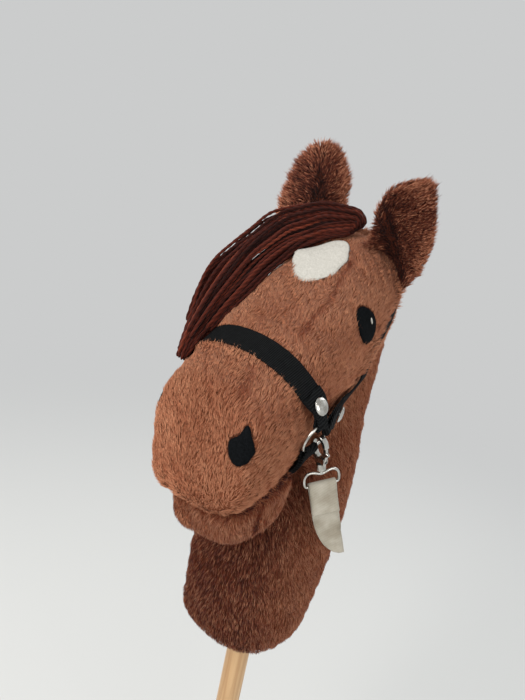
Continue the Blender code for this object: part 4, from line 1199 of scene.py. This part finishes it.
def buildMane():  # sewn along the crest, and laid in clumps down the right side of the neck
    rng = np.random.default_rng(mane["seeds"][0])
    lines = []
    total = mane["strands"]
    root, tip = mane["angles"]
    thick, thinner = mane["thick"]
    drop, growth = mane["drop"]
    closing, low, high = mane["clumping"]
    less, startLess, endLess = mane["shorter"]
    crestStart, crestRun = mane["crestEnds"]
    for s in range(total):
        along = (s + rng.uniform(*mane["place"])) / total
        height = mane["foot"] + (mane["top"] - mane["foot"]) * along
        layer = (s * yarn["spread"]) % 1.0
        clump = (math.floor(height / mane["clump"]) + 0.5) * mane["clump"]
        ends = math.sin(math.pi * (crestStart + crestRun * along)) ** 0.5
        swing = rng.normal() * mane["swing"]
        bob = rng.normal() * mane["bob"] * mm
        beat = rng.uniform(*mane["beat"])
        reach = rng.uniform(*mane["length"]) * (1.0 - less * smoothShare(along, startLess, endLess))
        points = []
        for share in np.linspace(mane["start"], reach, mane["points"]):
            f = max(share, 0.0)
            body = max(1.0 - abs(2.0 * min(f, 1.0) - 1.0) ** 4, mane["leastBody"]) ** 0.5
            off = mane["leastOff"] + layer * (thick - thinner * f) * body * ends
            off = mane["rootOff"] if share < 0 else off
            wave = math.sin(f * beat + s)
            level = height + (clump - height) * closing * smoothShare(f, low, high)
            level += bob * wave - drop * f ** growth
            points.append(neckSpot(root + (tip - root) * share + swing * wave * f, level, off))
        lines.append(np.array(points))
    spinYarn("maneYarn", lines, mane["seeds"][1], ("mane",))


buildMane()
print("mane ready")

# Webbing

webbing = {
    "dark": rgb(3, 3, 4),
    "light": rgb(32, 34, 35),
    "rib": 1.9 * mm,
    "pick": 1.1 * mm,
    "thread": 0.35,
    "fuzz": 1.6,
    "crisp": 40,
    # the headpiece sinks into the pile between these heights, more on the left side
    "sunk": 2.9 * mm,
    "sunkFrom": (0.696, 0.716),
    "sunkTo": (0.80, 0.82),
    "leftMore": (0.36, 0.0, 0.02),
    "pieces": {"noseband": "nosebandWebbing", "headpiece": "headpieceWebbing",
               "chin_strap": "chinWebbing"},
}


def webbingMaterial():  # crosswise cords along the strap, drawn on its own map in metres; their crests are painted lighter and the furrows darker, as painted shade
    material, tree, shader = newMaterial("wovenWebbing", roughness=0.85, specular=0.12)
    along, across = mapValues(tree, "weave")
    cord = maths(tree, "SINE", maths(tree, "MULTIPLY", along, 2.0 * math.pi / webbing["rib"]))
    thread = maths(tree, "SINE", maths(tree, "MULTIPLY", across, 2.0 * math.pi / webbing["pick"]))
    weave = maths(tree, "ADD", cord, maths(tree, "MULTIPLY", thread, webbing["thread"]))
    fuzz = noise(tree, objectPlace(tree), scale=260.0, detail=3.0)
    total = maths(tree, "ADD", weave, maths(tree, "MULTIPLY", fuzz, webbing["fuzz"]))
    share = newNode(tree, "MapRange", sockets={"Value": total, "From Min": -0.6,
                                               "From Max": 2.2}).outputs["Result"]
    # painted shade: darker in the furrows between the cords, lighter on their crests, with random fuzz
    tint = ramp(tree, share, ((0.1, webbing["dark"]), (0.9, webbing["light"])))
    paint(tree, shader, tint)
    addBump(tree, shader, weave, strength=1.0, distance=0.0009)
    return material


def weaveMap(mesh):  # metres along the strap's loop, and metres across it
    spots = spotsOf(mesh)
    flat = spots - spots.mean(0)
    first, second, across = np.linalg.svd(flat, full_matrices=False)[2]
    radius = np.hypot(flat @ first, flat @ second).mean()
    angle = np.arctan2(flat @ second, flat @ first)
    layer = mesh.uv_layers.new(name="weave")
    for face in mesh.polygons:
        start = None
        for loop in face.loop_indices:
            v = mesh.loops[loop].vertex_index
            turn = angle[v]
            if start is None:
                start = turn
            turn += 2.0 * math.pi * round((start - turn) / (2.0 * math.pi))
            layer.data[loop].uv = (turn * radius, flat[v] @ across)


def settleStrap(mesh):  # up the cheek the strap sinks into the pile
    spots = spotsOf(mesh)
    height = spots[:, 2]
    share = smoothShare(height, *webbing["sunkFrom"])
    share = share * (1.0 - smoothShare(height, *webbing["sunkTo"]))
    more, middle, left = webbing["leftMore"]
    share *= 1.0 + more * smoothShare(spots[:, 0], middle, left)
    setSpots(mesh, spots - headNormals(spots) * (webbing["sunk"] * share)[:, None])


webbingLook = webbingMaterial()
for name, pieceName in webbing["pieces"].items():
    strap = copyPiece(name, webbing["crisp"], pieceName, webbingLook, "head")
    weaveMap(strap.data)
    if name == "headpiece":
        settleStrap(strap.data)
print("webbing ready")

# Nickel plate

nickel = {
    "bright": rgb(214, 212, 206),
    "worn": rgb(176, 172, 164),
    "roughness": 0.20,
    "rougher": 1.4,  # times the roughness where the plate is worn, and where it is bright
    "smoother": 0.8,
    "crisp": 50,
    "solid": ("snap_body", "snap_gate_pin", "snap_gate",
              "stud_noseband_left", "stud_noseband_right", "stud_cheek_left", "stud_cheek_right",
              "stud_back_noseband_left", "stud_back_noseband_right", "stud_back_cheek_left",
              "stud_back_cheek_right"),
    "wires": {"ring_left": "ring_left", "ring_right": "ring_right", "snap_eye": "swivel"},
}


def nickelMaterial():
    roughness = nickel["roughness"]
    material, tree, shader = newMaterial("nickelPlate", roughness, specular=0.5, metallic=1.0)
    cloud = noise(tree, objectPlace(tree), scale=180.0, detail=4.0)
    tint = ramp(tree, cloud, ((0.35, nickel["worn"]), (0.6, nickel["bright"])))
    paint(tree, shader, tint)
    rough = newNode(tree, "MapRange", sockets={"Value": cloud, "From Min": 0.3, "From Max": 0.7,
                                               "To Min": roughness * nickel["rougher"],
                                               "To Max": roughness * nickel["smoother"]})
    tree.links.new(rough.outputs["Result"], shader.inputs["Roughness"])
    return material


nickelLook = nickelMaterial()
for name in (*nickel["solid"], *nickel["wires"]):
    dress(name, nickelLook)
for name, body in nickel["wires"].items():  # rounder copies of the bent wires take their place
    piece = copyPiece(name, nickel["crisp"], nameOf(name) + "Wire", nickelLook, body)
    withModifiers(piece, rounded(1))
print("metal ready")

# Tab

tabCloth = {
    "low": rgb(142, 132, 114),
    "high": rgb(192, 185, 170),
    "top": 0.626,
    "outward": Vector((0.79, -0.61, 0.0)),
    "longest": 0.0016,
    "passes": 3,
    "limp": (0.012, 0.050),  # from here to there below the top the cloth gives way
    # waves of the cloth: their rate down, along x and along y, and their height in mm
    "waves": ((420.0, 260.0, 0.0, 0.45), (190.0, 0.0, -90.0, 0.85)),
    "crease": (0.041, 0.0016, 1.2),  # below the top, spread, and height in mm
}


def tapeMaterial():
    material, tree, shader = newMaterial("cottonTape", roughness=0.88, specular=0.1, sheen=0.05)
    place = objectPlace(tree)
    weave = newNode(tree, "TexWave", {"bands_direction": "DIAGONAL"},
                    {"Vector": place, "Scale": 380.0, "Distortion": 0.4}).outputs["Fac"]
    both = newNode(tree, "Mix", {"data_type": "FLOAT"},
                   {"Factor": 0.25, "A": noise(tree, place, scale=60.0, detail=3.0), "B": weave})
    tint = ramp(tree, both.outputs["Result"], ((0.3, tabCloth["low"]), (0.7, tabCloth["high"])))
    paint(tree, shader, tint)
    addBump(tree, shader, weave, strength=0.25, distance=0.0003)
    return material


def buildTab():  # soft tape doubled over the swivel's eye, creased and a little limp
    bm = nodeCopy("tab")
    bmesh.ops.triangulate(bm, faces=bm.faces)
    for _ in range(tabCloth["passes"]):
        longEdges = [e for e in bm.edges if e.calc_length() > tabCloth["longest"]]
        bmesh.ops.subdivide_edges(bm, edges=longEdges, cuts=1)
        bmesh.ops.triangulate(bm, faces=bm.faces)
    place, spread, most = tabCloth["crease"]
    for vert in bm.verts:
        down = tabCloth["top"] - vert.co.z
        fold = 0.0
        for rate, alongX, alongY, height in tabCloth["waves"]:
            fold += math.sin(down * rate + alongX * vert.co.x + alongY * vert.co.y) * height
        fold += most * math.exp(-((down - place) / spread) ** 2)
        vert.co += tabCloth["outward"] * (fold * smoothShare(down, *tabCloth["limp"]) * mm)
    tab = addPiece("tabTape", bm, tapeMaterial(), "tab", ("tab",))


buildTab()
print("tab ready")

# Stick and lining

stick = {
    "low": rgb(168, 128, 86),
    "high": rgb(206, 170, 126),
    "stretch": (60.0, 60.0, 4.0),
    "lining": (rgb(66, 38, 28), rgb(88, 54, 40)),
    "liningGrain": 1500.0,
}


def woodMaterial():  # grain that runs along the stick
    material, tree, shader = newMaterial("beechStick", roughness=0.45, specular=0.4)
    slow = newNode(tree, "Mapping", sockets={"Vector": objectPlace(tree),
                                             "Scale": stick["stretch"]}).outputs[0]
    grain = noise(tree, slow, scale=2.0, detail=6.0, distortion=0.8)
    tint = ramp(tree, grain, ((0.3, stick["low"]), (0.7, stick["high"])))
    paint(tree, shader, tint)
    return material


dress("stick", woodMaterial())
dress("stick_sleeve", skinMaterial("liningCloth", stick["lining"], stick["liningGrain"]))
for name in ("stick", "stick_sleeve"):
    smoothFaces(nodes[name].data, False)
print("stick ready")
